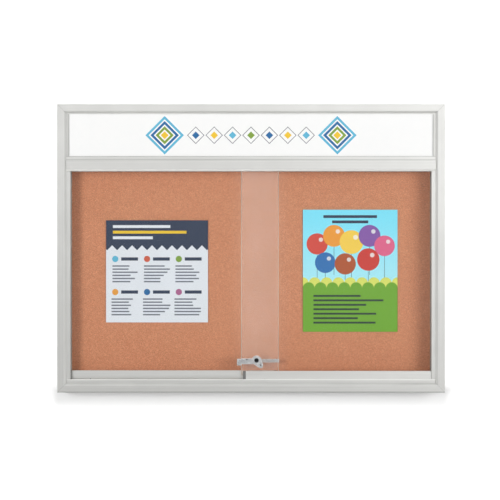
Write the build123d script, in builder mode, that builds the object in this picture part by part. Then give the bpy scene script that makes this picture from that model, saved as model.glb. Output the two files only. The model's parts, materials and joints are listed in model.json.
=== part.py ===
from build123d import *
from math import hypot
import os

# Enclosed notice board with a header panel and two sliding glass doors, hung on a wall.
# Millimetres, +X to the right, +Z up, front towards -Y. The origin is the middle of the back, on the wall.
# A depth is a distance in front of the wall, so a point at depth d has y = -d.

# Case
CASE_WIDTH = 1219.2
CASE_HEIGHT = 906.5
CASE_DEPTH = 101.6
WALL = 2.0  # of the aluminium extrusions
FIT = 0.2  # play round a piece that is slipped into place

# Frame extrusion
FRAME_BODY = 28.0  # across its face
FACE_LAND = 22.0  # flat part of the face; the rest is bevelled
BEVEL_DROP = 5.5
REAR_FLANGE = 12.0
WEB_DEPTH = 56.0  # back of the web that crosses the hollow
EDGE_RADIUS = 1.2
KEY_LEG = 67.8
KEY_THICKNESS = 5.6

# Screws
SCREW_RADIUS = 1.7
SCREW_PLAY = 0.15
HEAD_RADIUS = 2.9
HEAD_HEIGHT = 2.0

# Wall and hanger rails
RAIL_THICKNESS = 2.0
RAIL_PLAY = 0.1
RAIL_LENGTH = 1000.0
RAIL_FOOT = 18.0  # below the line of screws
RAIL_RISE = 8.0  # from the line of screws up to the step
RAIL_LIP = 14.0
RAIL_INSET = 133.25  # from the top or bottom of the case to the screws of a wall rail
WALL_SCREW_PITCH = 812.8
WALL_SCREW_RADIUS = 2.75
HANGER_SCREW_PITCH = 420.0
HANGER_SCREW_COUNT = 3
HANGER_SCREW_GRIP = 6.0  # in the backing board

# Backing board, cork and the sheets pinned on it
BOARD_THICKNESS = 9.0
BOARD_INSET = 6.0  # from the outer edge of the frame
CORK_THICKNESS = 6.0
PAPER_THICKNESS = 0.3
LEFT_SHEET_WIDTH = 327.0
LEFT_SHEET_HEIGHT = 327.4
LEFT_SHEET_X = -301.4
LEFT_SHEET_Z = -74.0
RIGHT_SHEET_WIDTH = 303.4
RIGHT_SHEET_HEIGHT = 391.6
RIGHT_SHEET_X = 318.3
RIGHT_SHEET_Z = -72.1

# Divider rail and header
HEADER_DROP = 176.0  # from the top of the case to the top of the divider's face
DIVIDER_FACE = 28.3
DIVIDER_BEVEL = 6.0
DIVIDER_SETBACK = 3.0  # behind the frame's face
DIVIDER_BEVEL_DROP = 3.5
BEVEL_FOOT = 0.5  # thickness of the bevel's lower edge
SHELF_THICKNESS = 2.5
HEADER_LIP = 12.6
HEADER_FIN = 8.0
HEADER_GROOVE = 4.5
PANEL_THICKNESS = 3.0
CHANNEL_WALL = 1.5
SIDE_CHANNEL_LIP = 8.6
TOP_CHANNEL_LIP = 3.0
BRACKET_LEG = 26.0
BRACKET_THICKNESS = 3.0
BRACKET_DEPTH = 24.0
BRACKET_GAP = 6.6  # behind the divider rail's rear wall

# Doors
GLASS = 5.0
GLASS_CHAMFER = 0.5
DOOR_PITCH = 16.0  # between the planes of the two doors
DOOR_OVERLAP = 119.4
OVERLAP_SHIFT = 28.3  # middle of the overlap, right of the middle of the case
LIP_TO_SHOE = 1.5
SHOE_WIDTH = 11.0
SHOE_LIFT = 4.0  # above the floor of the track
SHOE_WEB = 3.0
SHOE_ROUND = 1.0
GLASS_POCKET = 15.0
GASKET = 1.0
CAP_LENGTH = 9.0
CAP_INSET = 6.0  # from the edge of the glass to the end of the cap
JAMB_CAP_INSET = 0.5  # the same, at the jamb
ROLLER_RADIUS = 7.0
ROLLER_GROOVE_RADIUS = 5.0
ROLLER_GROOVE_WIDTH = 2.6
ROLLER_WIDTH = 5.0
ROLLER_PLAY = 0.35  # beside the roller in its slot
ROLLER_HEADROOM = 0.85
ROLLER_INSET = 60.0  # from the end of the shoe
AXLE_RADIUS = 1.5
AXLE_PLAY = 0.05

# Tracks and jambs
TRACK_BASE = 2.0
TRACK_SETBACK = 1.0  # of its front lip behind the lip of the divider
RIB_WIDTH = 2.0
RIB_HEIGHT = 5.0
RIB_GAP = 0.3  # between the rib and the roller that runs on it
RIB_CLEARANCE = 1.5  # between the rib and the caps that pass over it
LOWER_LIP = 12.85
LOWER_LIP_ROUND = 0.9
REAR_UPSTAND = 8.0
UPSTAND_WALL = 1.2
UPPER_TRACK_HEIGHT = 19.0
TRACK_CLEARANCE = 1.2  # each side of the glass
LIFT_ROOM = 8.0  # above the glass
TRACK_SCREW_INSET = 60.0  # from the side walls
TRACK_SCREW_COUNT = 3
JAMB_LIP = 13.0
BUMPER_THICKNESS = 2.0
BUMPER_WIDTH = 8.0
BUMPER_LENGTH = 30.0
BUMPER_PITCH = 420.0
BUMPER_GAP = 0.5

# Lock
LOCK_RISE = 31.0  # from the top of the shoe to the middle of the lock bar
BAR_HEIGHT = 11.0
BAR_THICKNESS = 2.0
BAR_PAD = 1.0
BAR_PLAY = 0.4
BAR_ROUND = 1.5
BAR_SETBACK = 0.7  # of its free end in the head of the lock
HOOK_LENGTH = 14.0
HOOK_RADIUS = 2.0
NOTCH_PITCH = 6.0
NOTCH_COUNT = 9
NOTCH_DEPTH = 2.9
NOTCH_WIDTH = 3.8
NOTCH_TAPER = 0.9  # each side
TOOTH_HEIGHT = 2.7
TOOTH_PLAY = 0.3  # each side, in a notch
TOOTH_DROP = 0.6  # below the bar when the lock is open
HEAD_LENGTH = 13.0
HEAD_ABOVE = 7.5
HEAD_BELOW = 13.0
HEAD_ROUND = 3.0
ARM_HALF = 9.0
CLAMP_LEG_LENGTH = 18.0
CLAMP_LEG_HALF = 4.0
CLAMP_LEG_THICKNESS = 3.0
LOCK_PLATE = 1.5
LOCK_BODY = 6.5
LOCK_BOSS = 2.4
LOCK_ROUND = 1.5
AXIS_FROM_EDGE = 48.7  # from the edge of the front glass to the axis of the key plug
AXIS_RISE = 3.3  # of that axis above the middle of the bar
BOSS_RADIUS = 15.0
LOBE_RADIUS = 8.0
LOBE_X = 13.0
LOBE_Z = -17.0
SLEEVE_RADIUS = 9.0
SLEEVE_FLANGE = 1.6
SLEEVE_FLANGE_RADIUS = 11.0
SLEEVE_CHAMFER = 0.8
COLLAR_RADIUS = 13.5
PLUG_RADIUS = 7.0
PLUG_PLAY = 0.05
PLUG_SETBACK = 0.3  # behind the face of its sleeve
KEYWAY_WIDTH = 1.8
KEYWAY_HEIGHT = 9.0
KEYWAY_DEPTH = 5.0
CRANK = 3.0  # throw of the plug's pin, and travel of the latch
CRANK_PIN_RADIUS = 1.25
LATCH_THICKNESS = 2.0
LATCH_HALF = 3.0
LATCH_PLAY = 0.4
LATCH_GAP = 0.3  # before and behind the latch
LATCH_DROP = 7.5  # from the middle of the bar to the foot of the latch's long leg
LATCH_LEG = 5.0
LATCH_BRIDGE = 2.5  # thickness of the piece that carries the tooth
PAD_MARGIN = 3.5  # beside the slot of the crank pin
PAD_ABOVE = 4.0  # above the crank pin
SLOT_END_PLAY = 0.8
SLOT_PLAY = 0.75  # above and below the crank pin
CLAMP_SCREW_RADIUS = 2.2
CLAMP_SCREW_RISE = 5.2  # of the screw by the edge, above the middle of the bar
LOBE_SCREW_RISE = 1.5  # of the screw in the lobe, above its centre
CLAMP_SCREW_SINK = 0.6
HEX_RADIUS = 1.2
HEX_DEPTH = 1.5

# Places worked out from the sizes above
LEFT_WALL = -CASE_WIDTH / 2 + FRAME_BODY
RIGHT_WALL = -LEFT_WALL
FLOOR = -CASE_HEIGHT / 2 + FRAME_BODY
CEILING = -FLOOR
BOARD_BACK = 4 * RAIL_THICKNESS + 3 * RAIL_PLAY
BOARD_FRONT = BOARD_BACK + BOARD_THICKNESS
CORK_FRONT = BOARD_FRONT + CORK_THICKNESS
GROOVE_FRONT = BOARD_FRONT + FIT

FACE_TOP = CASE_HEIGHT / 2 - HEADER_DROP
FACE_BOTTOM = FACE_TOP - DIVIDER_FACE
DIVIDER_BOTTOM = FACE_BOTTOM - DIVIDER_BEVEL
SHELF_BOTTOM = DIVIDER_BOTTOM + UPPER_TRACK_HEIGHT
SHELF_TOP = SHELF_BOTTOM + SHELF_THICKNESS
DIVIDER_FRONT = CASE_DEPTH - DIVIDER_SETBACK
LIP_FRONT = DIVIDER_FRONT - DIVIDER_BEVEL_DROP
LIP_BACK = LIP_FRONT - WALL
GROOVE_BACK = LIP_BACK - HEADER_GROOVE
GROOVE_FLOOR = FACE_TOP - WALL
PANEL_BACK = GROOVE_BACK + (HEADER_GROOVE - PANEL_THICKNESS) / 2

TRACK_LIP_BACK = LIP_BACK - TRACK_SETBACK
TRACK_FRONT = TRACK_LIP_BACK + WALL
FRONT_DOOR = TRACK_LIP_BACK - LIP_TO_SHOE - SHOE_WIDTH / 2
REAR_DOOR = FRONT_DOOR - DOOR_PITCH
TRACK_BACK = REAR_DOOR - SHOE_WIDTH / 2 - LIP_TO_SHOE - UPSTAND_WALL
MID_TRACK = (FRONT_DOOR + REAR_DOOR) / 2
TRACK_FLOOR = FLOOR + TRACK_BASE
ROLLER_Z = TRACK_FLOOR + RIB_HEIGHT + RIB_GAP + ROLLER_GROOVE_RADIUS
SHOE_BOTTOM = TRACK_FLOOR + SHOE_LIFT
ROLLER_ROOF = ROLLER_Z + ROLLER_RADIUS + ROLLER_HEADROOM
POCKET_FLOOR = ROLLER_ROOF + SHOE_WEB
SHOE_TOP = POCKET_FLOOR + GLASS_POCKET
GLASS_BOTTOM = POCKET_FLOOR + GASKET
GLASS_TOP = SHELF_BOTTOM - TRACK_BASE - LIFT_ROOM
DOOR_STOP = RIGHT_WALL - CHANNEL_WALL - BUMPER_THICKNESS - BUMPER_GAP
FRONT_EDGE = OVERLAP_SHIFT - DOOR_OVERLAP / 2  # left edge of the right, front door
REAR_EDGE = OVERLAP_SHIFT + DOOR_OVERLAP / 2  # right edge of the left, rear door
SHOE_STOP = DOOR_STOP - JAMB_CAP_INSET - CAP_LENGTH
LEFT_SHOE = (-SHOE_STOP, REAR_EDGE - CAP_INSET - CAP_LENGTH)
RIGHT_SHOE = (FRONT_EDGE + CAP_INSET + CAP_LENGTH, SHOE_STOP)

BAR_Z = SHOE_TOP + LOCK_RISE
BAR_BACK = REAR_DOOR + GLASS / 2 + BAR_PAD
BAR_FRONT = BAR_BACK + BAR_THICKNESS
HEAD_LEFT = FRONT_EDGE - HEAD_LENGTH
BAR_LEFT = HEAD_LEFT + BAR_SETBACK
BAR_BOTTOM = BAR_Z - BAR_HEIGHT / 2
HEAD_BACK = BAR_BACK - BAR_PLAY
TOOTH_X = FRONT_EDGE - HEAD_LENGTH / 2
AXIS_X = FRONT_EDGE + AXIS_FROM_EDGE
AXIS_Z = BAR_Z + AXIS_RISE
GLASS_FACE = FRONT_DOOR + GLASS / 2
BODY_BACK = GLASS_FACE + LOCK_PLATE
BODY_FRONT = BODY_BACK + LOCK_BODY
BOSS_FRONT = BODY_FRONT + LOCK_BOSS
LATCH_BACK = BODY_BACK + LATCH_GAP
LATCH_FRONT = LATCH_BACK + LATCH_THICKNESS
LATCH_ROOF = LATCH_FRONT + LATCH_GAP
CLAMP_SCREWS = (
    (FRONT_EDGE + CLAMP_LEG_LENGTH, BAR_Z + CLAMP_SCREW_RISE),
    (AXIS_X + LOBE_X, AXIS_Z + LOBE_Z + LOBE_SCREW_RISE),
)

# The frame members' planes: x runs inwards from the outer edge, y forwards, z along the member
BOTTOM_PLANE = Plane((0, 0, -CASE_HEIGHT / 2), x_dir=(0, 0, 1), z_dir=(1, 0, 0))
TOP_PLANE = Plane((0, 0, CASE_HEIGHT / 2), x_dir=(0, 0, -1), z_dir=(-1, 0, 0))
LEFT_PLANE = Plane((-CASE_WIDTH / 2, 0, 0), x_dir=(1, 0, 0), z_dir=(0, 0, -1))
RIGHT_PLANE = Plane((CASE_WIDTH / 2, 0, 0), x_dir=(-1, 0, 0), z_dir=(0, 0, 1))


def front_plane(depth):
    """A plane facing the viewer: x to the right, y up, extruding forwards."""
    return Plane.XZ.offset(depth)


def back_plane(depth):
    """A plane facing the wall: x to the right, y down, extruding backwards."""
    return Plane((0, -depth, 0), x_dir=(1, 0, 0), z_dir=(0, 1, 0))


def section_plane(x):
    """A plane across the board: x is depth, y is height, extruding to the left."""
    return Plane((x, 0, 0), x_dir=(0, -1, 0), z_dir=(-1, 0, 0))


def plan_plane(z, up=True):
    """A level plane: x to the right, y is minus the depth, or the depth where it faces down."""
    return Plane((0, 0, z), x_dir=(1, 0, 0), z_dir=(0, 0, 1 if up else -1))


def inner_wall(plane):
    """The inner face of a frame member: x is depth, y runs along the member."""
    return Plane(plane.origin + plane.x_dir * FRAME_BODY, x_dir=plane.y_dir, z_dir=plane.x_dir)


def area(x0, x1, y0, y1, mode=Mode.ADD):
    """A rectangle between two corners, in the sketch being drawn."""
    with Locations(((x0 + x1) / 2, (y0 + y1) / 2)):
        Rectangle(abs(x1 - x0), abs(y1 - y0), mode=mode)


def wedge(foot, taper, height):
    """The tapered outline of a notch, or of the tooth that fits it, in the sketch being drawn."""
    Polygon((-foot, 0), (foot, 0), (foot - taper, height), (taper - foot, height))


def spaced(count, pitch):
    """Places along a line, centred on zero."""
    return [(i - (count - 1) / 2) * pitch for i in range(count)]


def drill(plane, points, radius, depth):
    """Straight holes into the part being built, from a plane against its direction."""
    with BuildSketch(plane) as holes:
        with Locations(*points):
            Circle(radius)
    extrude(holes.sketch, amount=-depth, mode=Mode.SUBTRACT)


def screws(plane, points, shank):
    """Screws whose heads sit on a plane, on the side that it faces."""
    with BuildPart() as group:
        with BuildSketch(plane):
            with Locations(*points):
                Circle(HEAD_RADIUS)
        extrude(amount=HEAD_HEIGHT)
        with BuildSketch(plane):
            with Locations(*points):
                Circle(SCREW_RADIUS)
        extrude(amount=-shank)
    return group


# Frame
TRACK_SCREW_PITCH = 2 * (RIGHT_WALL - TRACK_SCREW_INSET) / (TRACK_SCREW_COUNT - 1)
TRACK_SCREW_X = spaced(TRACK_SCREW_COUNT, TRACK_SCREW_PITCH)
BRACKET_FRONT = GROOVE_BACK - WALL - BRACKET_GAP
BRACKET_SCREW_DEPTH = BRACKET_FRONT - BRACKET_DEPTH / 2
BRACKET_SCREW_RISE = (BRACKET_LEG + BRACKET_THICKNESS) / 2
BRACKET_Z = SHELF_TOP + BRACKET_SCREW_RISE

def frame_member(plane, length, holes=()):
    """A mitred length of the frame extrusion, with screw holes through its inner wall."""
    bevel_run = FRAME_BODY - FACE_LAND
    bevel_shift = WALL * hypot(bevel_run, BEVEL_DROP) / BEVEL_DROP
    chamber = FRAME_BODY - WALL
    under_face = FACE_LAND + WALL * bevel_run / BEVEL_DROP - bevel_shift
    under_bevel = CASE_DEPTH - (chamber + bevel_shift - FACE_LAND) * BEVEL_DROP / bevel_run
    with BuildPart() as member:
        with BuildSketch(plane) as section:
            with BuildLine():
                Polyline(
                    (0, 0),
                    (REAR_FLANGE, 0),
                    (REAR_FLANGE, WALL),
                    (WALL, WALL),
                    (WALL, BOARD_BACK - WALL),
                    (FRAME_BODY, BOARD_BACK - WALL),
                    (FRAME_BODY, BOARD_BACK),
                    (WALL, BOARD_BACK),
                    (WALL, GROOVE_FRONT),
                    (FRAME_BODY, GROOVE_FRONT),
                    (FRAME_BODY, CASE_DEPTH - BEVEL_DROP),
                    (FACE_LAND, CASE_DEPTH),
                    (0, CASE_DEPTH),
                    close=True,
                )
            make_face()
            fillet(section.vertices().sort_by_distance((0, CASE_DEPTH))[0], EDGE_RADIUS)
            area(WALL, chamber, GROOVE_FRONT + WALL, WEB_DEPTH, Mode.SUBTRACT)
            Polygon(
                (WALL, WEB_DEPTH + WALL),
                (chamber, WEB_DEPTH + WALL),
                (chamber, under_bevel),
                (under_face, CASE_DEPTH - WALL),
                (WALL, CASE_DEPTH - WALL),
                mode=Mode.SUBTRACT,
            )
        extrude(amount=length / 2, both=True)
        for end in (-1, 1):
            corner = plane.origin + plane.z_dir * (end * length / 2)
            split(bisect_by=Plane(corner, z_dir=-plane.x_dir - plane.z_dir * end))
        if holes:
            drill(inner_wall(plane), holes, SCREW_RADIUS + SCREW_PLAY, WALL)
    return member


frame_top = frame_member(TOP_PLANE, CASE_WIDTH)
frame_bottom = frame_member(BOTTOM_PLANE, CASE_WIDTH, [(MID_TRACK, x) for x in TRACK_SCREW_X])
frame_left = frame_member(LEFT_PLANE, CASE_HEIGHT, [(BRACKET_SCREW_DEPTH, -BRACKET_Z)])
frame_right = frame_member(RIGHT_PLANE, CASE_HEIGHT, [(BRACKET_SCREW_DEPTH, BRACKET_Z)])

# Corner keys, pressed into both chambers of the frame at each corner
with BuildPart() as corner_keys:
    right = CASE_WIDTH / 2 - WALL - FIT
    top = CASE_HEIGHT / 2 - WALL - FIT
    width = FRAME_BODY - 2 * WALL - 2 * FIT
    for back in (WEB_DEPTH - FIT - KEY_THICKNESS, WEB_DEPTH + WALL + FIT):
        with BuildSketch(front_plane(back)):
            area(right - KEY_LEG, right, top - width, top)
            area(right - width, right, top - KEY_LEG, top)
            mirror(about=Plane.YZ)
            mirror(about=Plane.XZ)
        extrude(amount=KEY_THICKNESS)

# Wall rails, hanger rails and the board that they carry
RAIL_STEP = RAIL_RISE + RAIL_THICKNESS
RAIL_TIP = RAIL_STEP + RAIL_LIP
HANGER_SCREW_X = spaced(HANGER_SCREW_COUNT, HANGER_SCREW_PITCH)
RAIL_HEIGHTS = (CASE_HEIGHT / 2 - RAIL_INSET, RAIL_INSET - CASE_HEIGHT / 2)
HANGER_LINES = [z + RAIL_STEP + RAIL_TIP for z in RAIL_HEIGHTS]
HANGER_POINTS = [(x, -line) for line in HANGER_LINES for x in HANGER_SCREW_X]


def z_rail(plane, hole_plane, points, radius):
    """A length of Z-shaped rail, drilled along its line of screws."""
    reach = 3 * RAIL_THICKNESS + 2 * RAIL_PLAY
    with BuildPart() as rail:
        with BuildSketch(plane):
            Polygon(
                (0, -RAIL_FOOT),
                (RAIL_THICKNESS, -RAIL_FOOT),
                (RAIL_THICKNESS, RAIL_RISE),
                (reach, RAIL_RISE),
                (reach, RAIL_TIP),
                (reach - RAIL_THICKNESS, RAIL_TIP),
                (reach - RAIL_THICKNESS, RAIL_STEP),
                (0, RAIL_STEP),
            )
        extrude(amount=RAIL_LENGTH / 2, both=True)
        drill(hole_plane, points, radius, RAIL_THICKNESS)
    return rail


def wall_rail(z):
    """A rail screwed to the wall, its lip standing up in front."""
    plane = Plane((0, 0, z), x_dir=(0, -1, 0), z_dir=(-1, 0, 0))
    points = [(x, z) for x in spaced(2, WALL_SCREW_PITCH)]
    return z_rail(plane, front_plane(RAIL_THICKNESS), points, WALL_SCREW_RADIUS)


def hanger_rail(line):
    """The same section turned over, hooked down behind the lip of the wall rail below it."""
    plane = Plane((0, -BOARD_BACK, line), x_dir=(0, 1, 0), z_dir=(-1, 0, 0))
    points = [(x, -line) for x in HANGER_SCREW_X]
    return z_rail(plane, back_plane(BOARD_BACK - RAIL_THICKNESS), points, SCREW_RADIUS + SCREW_PLAY)


wall_rail_upper, wall_rail_lower = (wall_rail(z) for z in RAIL_HEIGHTS)
hanger_rail_upper, hanger_rail_lower = (hanger_rail(line) for line in HANGER_LINES)

with BuildPart() as backing_board:
    with BuildSketch(front_plane(BOARD_BACK)):
        Rectangle(CASE_WIDTH - 2 * BOARD_INSET, CASE_HEIGHT - 2 * BOARD_INSET)
    extrude(amount=BOARD_THICKNESS)
    drill(back_plane(BOARD_BACK), HANGER_POINTS, SCREW_RADIUS + SCREW_PLAY, HANGER_SCREW_GRIP)

hanger_seat = back_plane(BOARD_BACK - RAIL_THICKNESS)
hanger_screws = screws(hanger_seat, HANGER_POINTS, RAIL_THICKNESS + HANGER_SCREW_GRIP)

with BuildPart() as cork_sheet:
    with BuildSketch(front_plane(BOARD_FRONT)):
        area(LEFT_WALL + FIT, RIGHT_WALL - FIT, FLOOR + FIT, SHELF_BOTTOM - FIT)
    extrude(amount=CORK_THICKNESS)


def paper_sheet(width, height, x, z):
    """A sheet of paper flat on the cork."""
    with BuildPart() as sheet:
        with BuildSketch(front_plane(CORK_FRONT)):
            with Locations((x, z)):
                Rectangle(width, height)
        extrude(amount=PAPER_THICKNESS)
    return sheet


notice_left = paper_sheet(LEFT_SHEET_WIDTH, LEFT_SHEET_HEIGHT, LEFT_SHEET_X, LEFT_SHEET_Z)
notice_right = paper_sheet(RIGHT_SHEET_WIDTH, RIGHT_SHEET_HEIGHT, RIGHT_SHEET_X, RIGHT_SHEET_Z)

# Divider rail, its brackets and the header
BRACKET_X = RIGHT_WALL - BRACKET_SCREW_RISE
with BuildPart() as divider_rail:
    with BuildSketch(section_plane(0)) as section:
        Polygon(
            (LIP_BACK, DIVIDER_BOTTOM),
            (LIP_FRONT, DIVIDER_BOTTOM),
            (DIVIDER_FRONT, FACE_BOTTOM),
            (DIVIDER_FRONT, FACE_TOP),
            (LIP_FRONT, FACE_TOP),
            (LIP_FRONT, FACE_TOP + HEADER_LIP),
            (LIP_BACK, FACE_TOP + HEADER_LIP),
            (LIP_BACK, GROOVE_FLOOR),
            (GROOVE_BACK, GROOVE_FLOOR),
            (GROOVE_BACK, FACE_TOP + HEADER_FIN),
            (GROOVE_BACK - WALL, FACE_TOP + HEADER_FIN),
            (GROOVE_BACK - WALL, SHELF_TOP),
            (BOARD_FRONT + FIT, SHELF_TOP),
            (BOARD_FRONT + FIT, SHELF_BOTTOM),
            (DIVIDER_FRONT - WALL, SHELF_BOTTOM),
            (DIVIDER_FRONT - WALL, FACE_BOTTOM + BEVEL_FOOT),
            (LIP_BACK, DIVIDER_BOTTOM + BEVEL_FOOT),
        )
        fillet(section.vertices().sort_by_distance((DIVIDER_FRONT, FACE_TOP))[0], EDGE_RADIUS)
        area(GROOVE_BACK, DIVIDER_FRONT - WALL, SHELF_TOP, GROOVE_FLOOR - WALL, Mode.SUBTRACT)
    extrude(amount=RIGHT_WALL - FIT, both=True)
    shelf_points = [(end * BRACKET_X, -BRACKET_SCREW_DEPTH) for end in (-1, 1)]
    track_points = [(x, -MID_TRACK) for x in TRACK_SCREW_X]
    drill(plan_plane(SHELF_TOP), shelf_points + track_points, SCREW_RADIUS + SCREW_PLAY, SHELF_THICKNESS)

SHELF_SEAT = plan_plane(SHELF_TOP + BRACKET_THICKNESS)
WALL_SEATS = (
    (inner_wall(LEFT_PLANE).offset(BRACKET_THICKNESS), [(BRACKET_SCREW_DEPTH, -BRACKET_Z)]),
    (inner_wall(RIGHT_PLANE).offset(BRACKET_THICKNESS), [(BRACKET_SCREW_DEPTH, BRACKET_Z)]),
)
with BuildPart() as divider_brackets:
    with BuildSketch(front_plane(BRACKET_FRONT - BRACKET_DEPTH)):
        area(RIGHT_WALL - BRACKET_LEG, RIGHT_WALL, SHELF_TOP, SHELF_TOP + BRACKET_THICKNESS)
        area(RIGHT_WALL - BRACKET_THICKNESS, RIGHT_WALL, SHELF_TOP, SHELF_TOP + BRACKET_LEG)
        mirror(about=Plane.YZ)
    extrude(amount=BRACKET_DEPTH)
    drill(SHELF_SEAT, shelf_points, SCREW_RADIUS + SCREW_PLAY, BRACKET_THICKNESS)
    for seat, wall_points in WALL_SEATS:
        drill(seat, wall_points, SCREW_RADIUS + SCREW_PLAY, BRACKET_THICKNESS)

with BuildPart() as divider_screws:
    add(screws(SHELF_SEAT, shelf_points, BRACKET_THICKNESS + SHELF_THICKNESS).part)
    for seat, wall_points in WALL_SEATS:
        add(screws(seat, wall_points, BRACKET_THICKNESS + WALL).part)

PANEL_TOP = CEILING - CHANNEL_WALL - FIT
with BuildPart() as header_panel:
    with BuildSketch(front_plane(PANEL_BACK)):
        side = RIGHT_WALL - CHANNEL_WALL - FIT
        area(-side, side, GROOVE_FLOOR, PANEL_TOP)
    extrude(amount=PANEL_THICKNESS)


def side_channel(wall, inwards):
    """A channel on a side wall of the header, open towards the panel."""
    base = FACE_TOP + HEADER_LIP + FIT
    with BuildPart() as channel:
        with BuildSketch(plan_plane(base)):
            area(wall, wall + inwards * SIDE_CHANNEL_LIP, -LIP_BACK, -LIP_FRONT)
            area(wall, wall + inwards * CHANNEL_WALL, CHANNEL_WALL - GROOVE_BACK, -LIP_FRONT)
            area(wall, wall + inwards * HEADER_FIN, CHANNEL_WALL - GROOVE_BACK, -GROOVE_BACK)
        extrude(amount=CEILING - TOP_CHANNEL_LIP - FIT - base)
    return channel


header_channel_left = side_channel(LEFT_WALL, 1)
header_channel_right = side_channel(RIGHT_WALL, -1)

with BuildPart() as header_channel_top:
    with BuildSketch(section_plane(0)):
        area(LIP_BACK, LIP_FRONT, CEILING - TOP_CHANNEL_LIP, CEILING)
        area(GROOVE_BACK - CHANNEL_WALL, LIP_FRONT, CEILING - CHANNEL_WALL, CEILING)
        area(GROOVE_BACK - CHANNEL_WALL, GROOVE_BACK, CEILING - TOP_CHANNEL_LIP, CEILING)
    extrude(amount=RIGHT_WALL - FIT, both=True)

# Tracks, jambs and bumpers
with BuildPart() as upper_track:
    half = GLASS / 2 + TRACK_CLEARANCE
    with BuildSketch(section_plane(0)):
        area(REAR_DOOR - half, FRONT_DOOR + half, SHELF_BOTTOM - TRACK_BASE, SHELF_BOTTOM)
        for door in (REAR_DOOR, FRONT_DOOR):
            for side in (-1, 1):
                area(door + side * half, door + side * (half + UPSTAND_WALL), DIVIDER_BOTTOM, SHELF_BOTTOM)
    extrude(amount=RIGHT_WALL - FIT, both=True)
    drill(plan_plane(SHELF_BOTTOM), track_points, SCREW_RADIUS + SCREW_PLAY, TRACK_BASE)

track_roof = plan_plane(SHELF_BOTTOM - TRACK_BASE, up=False)
roof_points = [(x, MID_TRACK) for x in TRACK_SCREW_X]
upper_track_screws = screws(track_roof, roof_points, TRACK_BASE + SHELF_THICKNESS)

with BuildPart() as lower_track:
    with BuildSketch(section_plane(0)) as section:
        area(TRACK_BACK, TRACK_FRONT, FLOOR, TRACK_FLOOR)
        area(TRACK_BACK, TRACK_BACK + UPSTAND_WALL, FLOOR, FLOOR + REAR_UPSTAND)
        area(TRACK_LIP_BACK, TRACK_FRONT, FLOOR, FLOOR + LOWER_LIP)
        fillet(section.vertices().group_by(Axis.Y)[-1], LOWER_LIP_ROUND)
        rib_round = TRACK_FLOOR + RIB_HEIGHT - RIB_WIDTH / 2
        for door in (REAR_DOOR, FRONT_DOOR):
            area(door - RIB_WIDTH / 2, door + RIB_WIDTH / 2, FLOOR, rib_round)
            with Locations((door, rib_round)):
                Circle(RIB_WIDTH / 2)
    extrude(amount=RIGHT_WALL - FIT, both=True)
    drill(plan_plane(TRACK_FLOOR), track_points, SCREW_RADIUS + SCREW_PLAY, TRACK_BASE)

lower_track_screws = screws(plan_plane(TRACK_FLOOR), track_points, TRACK_BASE + WALL)

JAMB_BOTTOM = FLOOR + LOWER_LIP + FIT
JAMB_TOP = DIVIDER_BOTTOM - FIT


def jamb(wall, inwards):
    """A channelled strip on a side wall that takes the closing edges of the doors."""
    tip = wall + inwards * JAMB_LIP
    with BuildPart() as strip:
        with BuildSketch(plan_plane(JAMB_BOTTOM)):
            area(wall, wall + inwards * CHANNEL_WALL, -TRACK_BACK, -TRACK_FRONT)
            area(wall, tip, -TRACK_LIP_BACK, -TRACK_FRONT)
            area(wall, tip, CHANNEL_WALL / 2 - MID_TRACK, -CHANNEL_WALL / 2 - MID_TRACK)
            area(wall, tip, -TRACK_BACK, -TRACK_BACK - CHANNEL_WALL)
        extrude(amount=JAMB_TOP - JAMB_BOTTOM)
    return strip


jamb_left = jamb(LEFT_WALL, 1)
jamb_right = jamb(RIGHT_WALL, -1)

with BuildPart() as jamb_bumpers:
    for wall, inwards, door in ((LEFT_WALL, 1, REAR_DOOR), (RIGHT_WALL, -1, FRONT_DOOR)):
        seat = Plane((wall + inwards * CHANNEL_WALL, -door, 0), x_dir=(0, 0, 1), z_dir=(inwards, 0, 0))
        with BuildSketch(seat):
            with Locations(*((z + (JAMB_BOTTOM + JAMB_TOP) / 2, 0) for z in spaced(2, BUMPER_PITCH))):
                SlotOverall(BUMPER_LENGTH, BUMPER_WIDTH)
        extrude(amount=BUMPER_THICKNESS)


# Doors
def door_glass(x0, x1, depth):
    """A pane of glass with its edges ground off."""
    with BuildPart() as pane:
        with BuildSketch(front_plane(depth - GLASS / 2)):
            area(x0, x1, GLASS_BOTTOM, GLASS_TOP)
        extrude(amount=GLASS)
        chamfer(pane.edges().filter_by(Axis.Z), GLASS_CHAMFER)
    return pane


def roller_places(shoe):
    """Where the two rollers stand in a shoe, outer and inner."""
    return shoe[0] + ROLLER_INSET, shoe[1] - ROLLER_INSET


def shoe_outline(depth):
    """The outline that a shoe shares with its end caps, in the sketch being drawn."""
    with BuildSketch(mode=Mode.PRIVATE) as outline:
        area(depth - SHOE_WIDTH / 2, depth + SHOE_WIDTH / 2, SHOE_BOTTOM, SHOE_TOP)
        fillet(outline.vertices().group_by(Axis.Y)[-1], SHOE_ROUND)
    add(outline.sketch)


def door_shoe(shoe, depth):
    """An H-shaped extrusion: glass is bedded in the top, rollers stand in the foot."""
    slot = ROLLER_WIDTH / 2 + ROLLER_PLAY
    pocket = GLASS / 2 + GASKET
    with BuildPart() as body:
        with BuildSketch(section_plane(shoe[1])):
            shoe_outline(depth)
            area(depth - slot, depth + slot, SHOE_BOTTOM, ROLLER_ROOF, Mode.SUBTRACT)
            area(depth - pocket, depth + pocket, POCKET_FLOOR, SHOE_TOP, Mode.SUBTRACT)
        extrude(amount=shoe[1] - shoe[0])
        axles = [(x, ROLLER_Z) for x in roller_places(shoe)]
        drill(front_plane(depth + SHOE_WIDTH / 2), axles, AXLE_RADIUS, SHOE_WIDTH)
    return body


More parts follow.
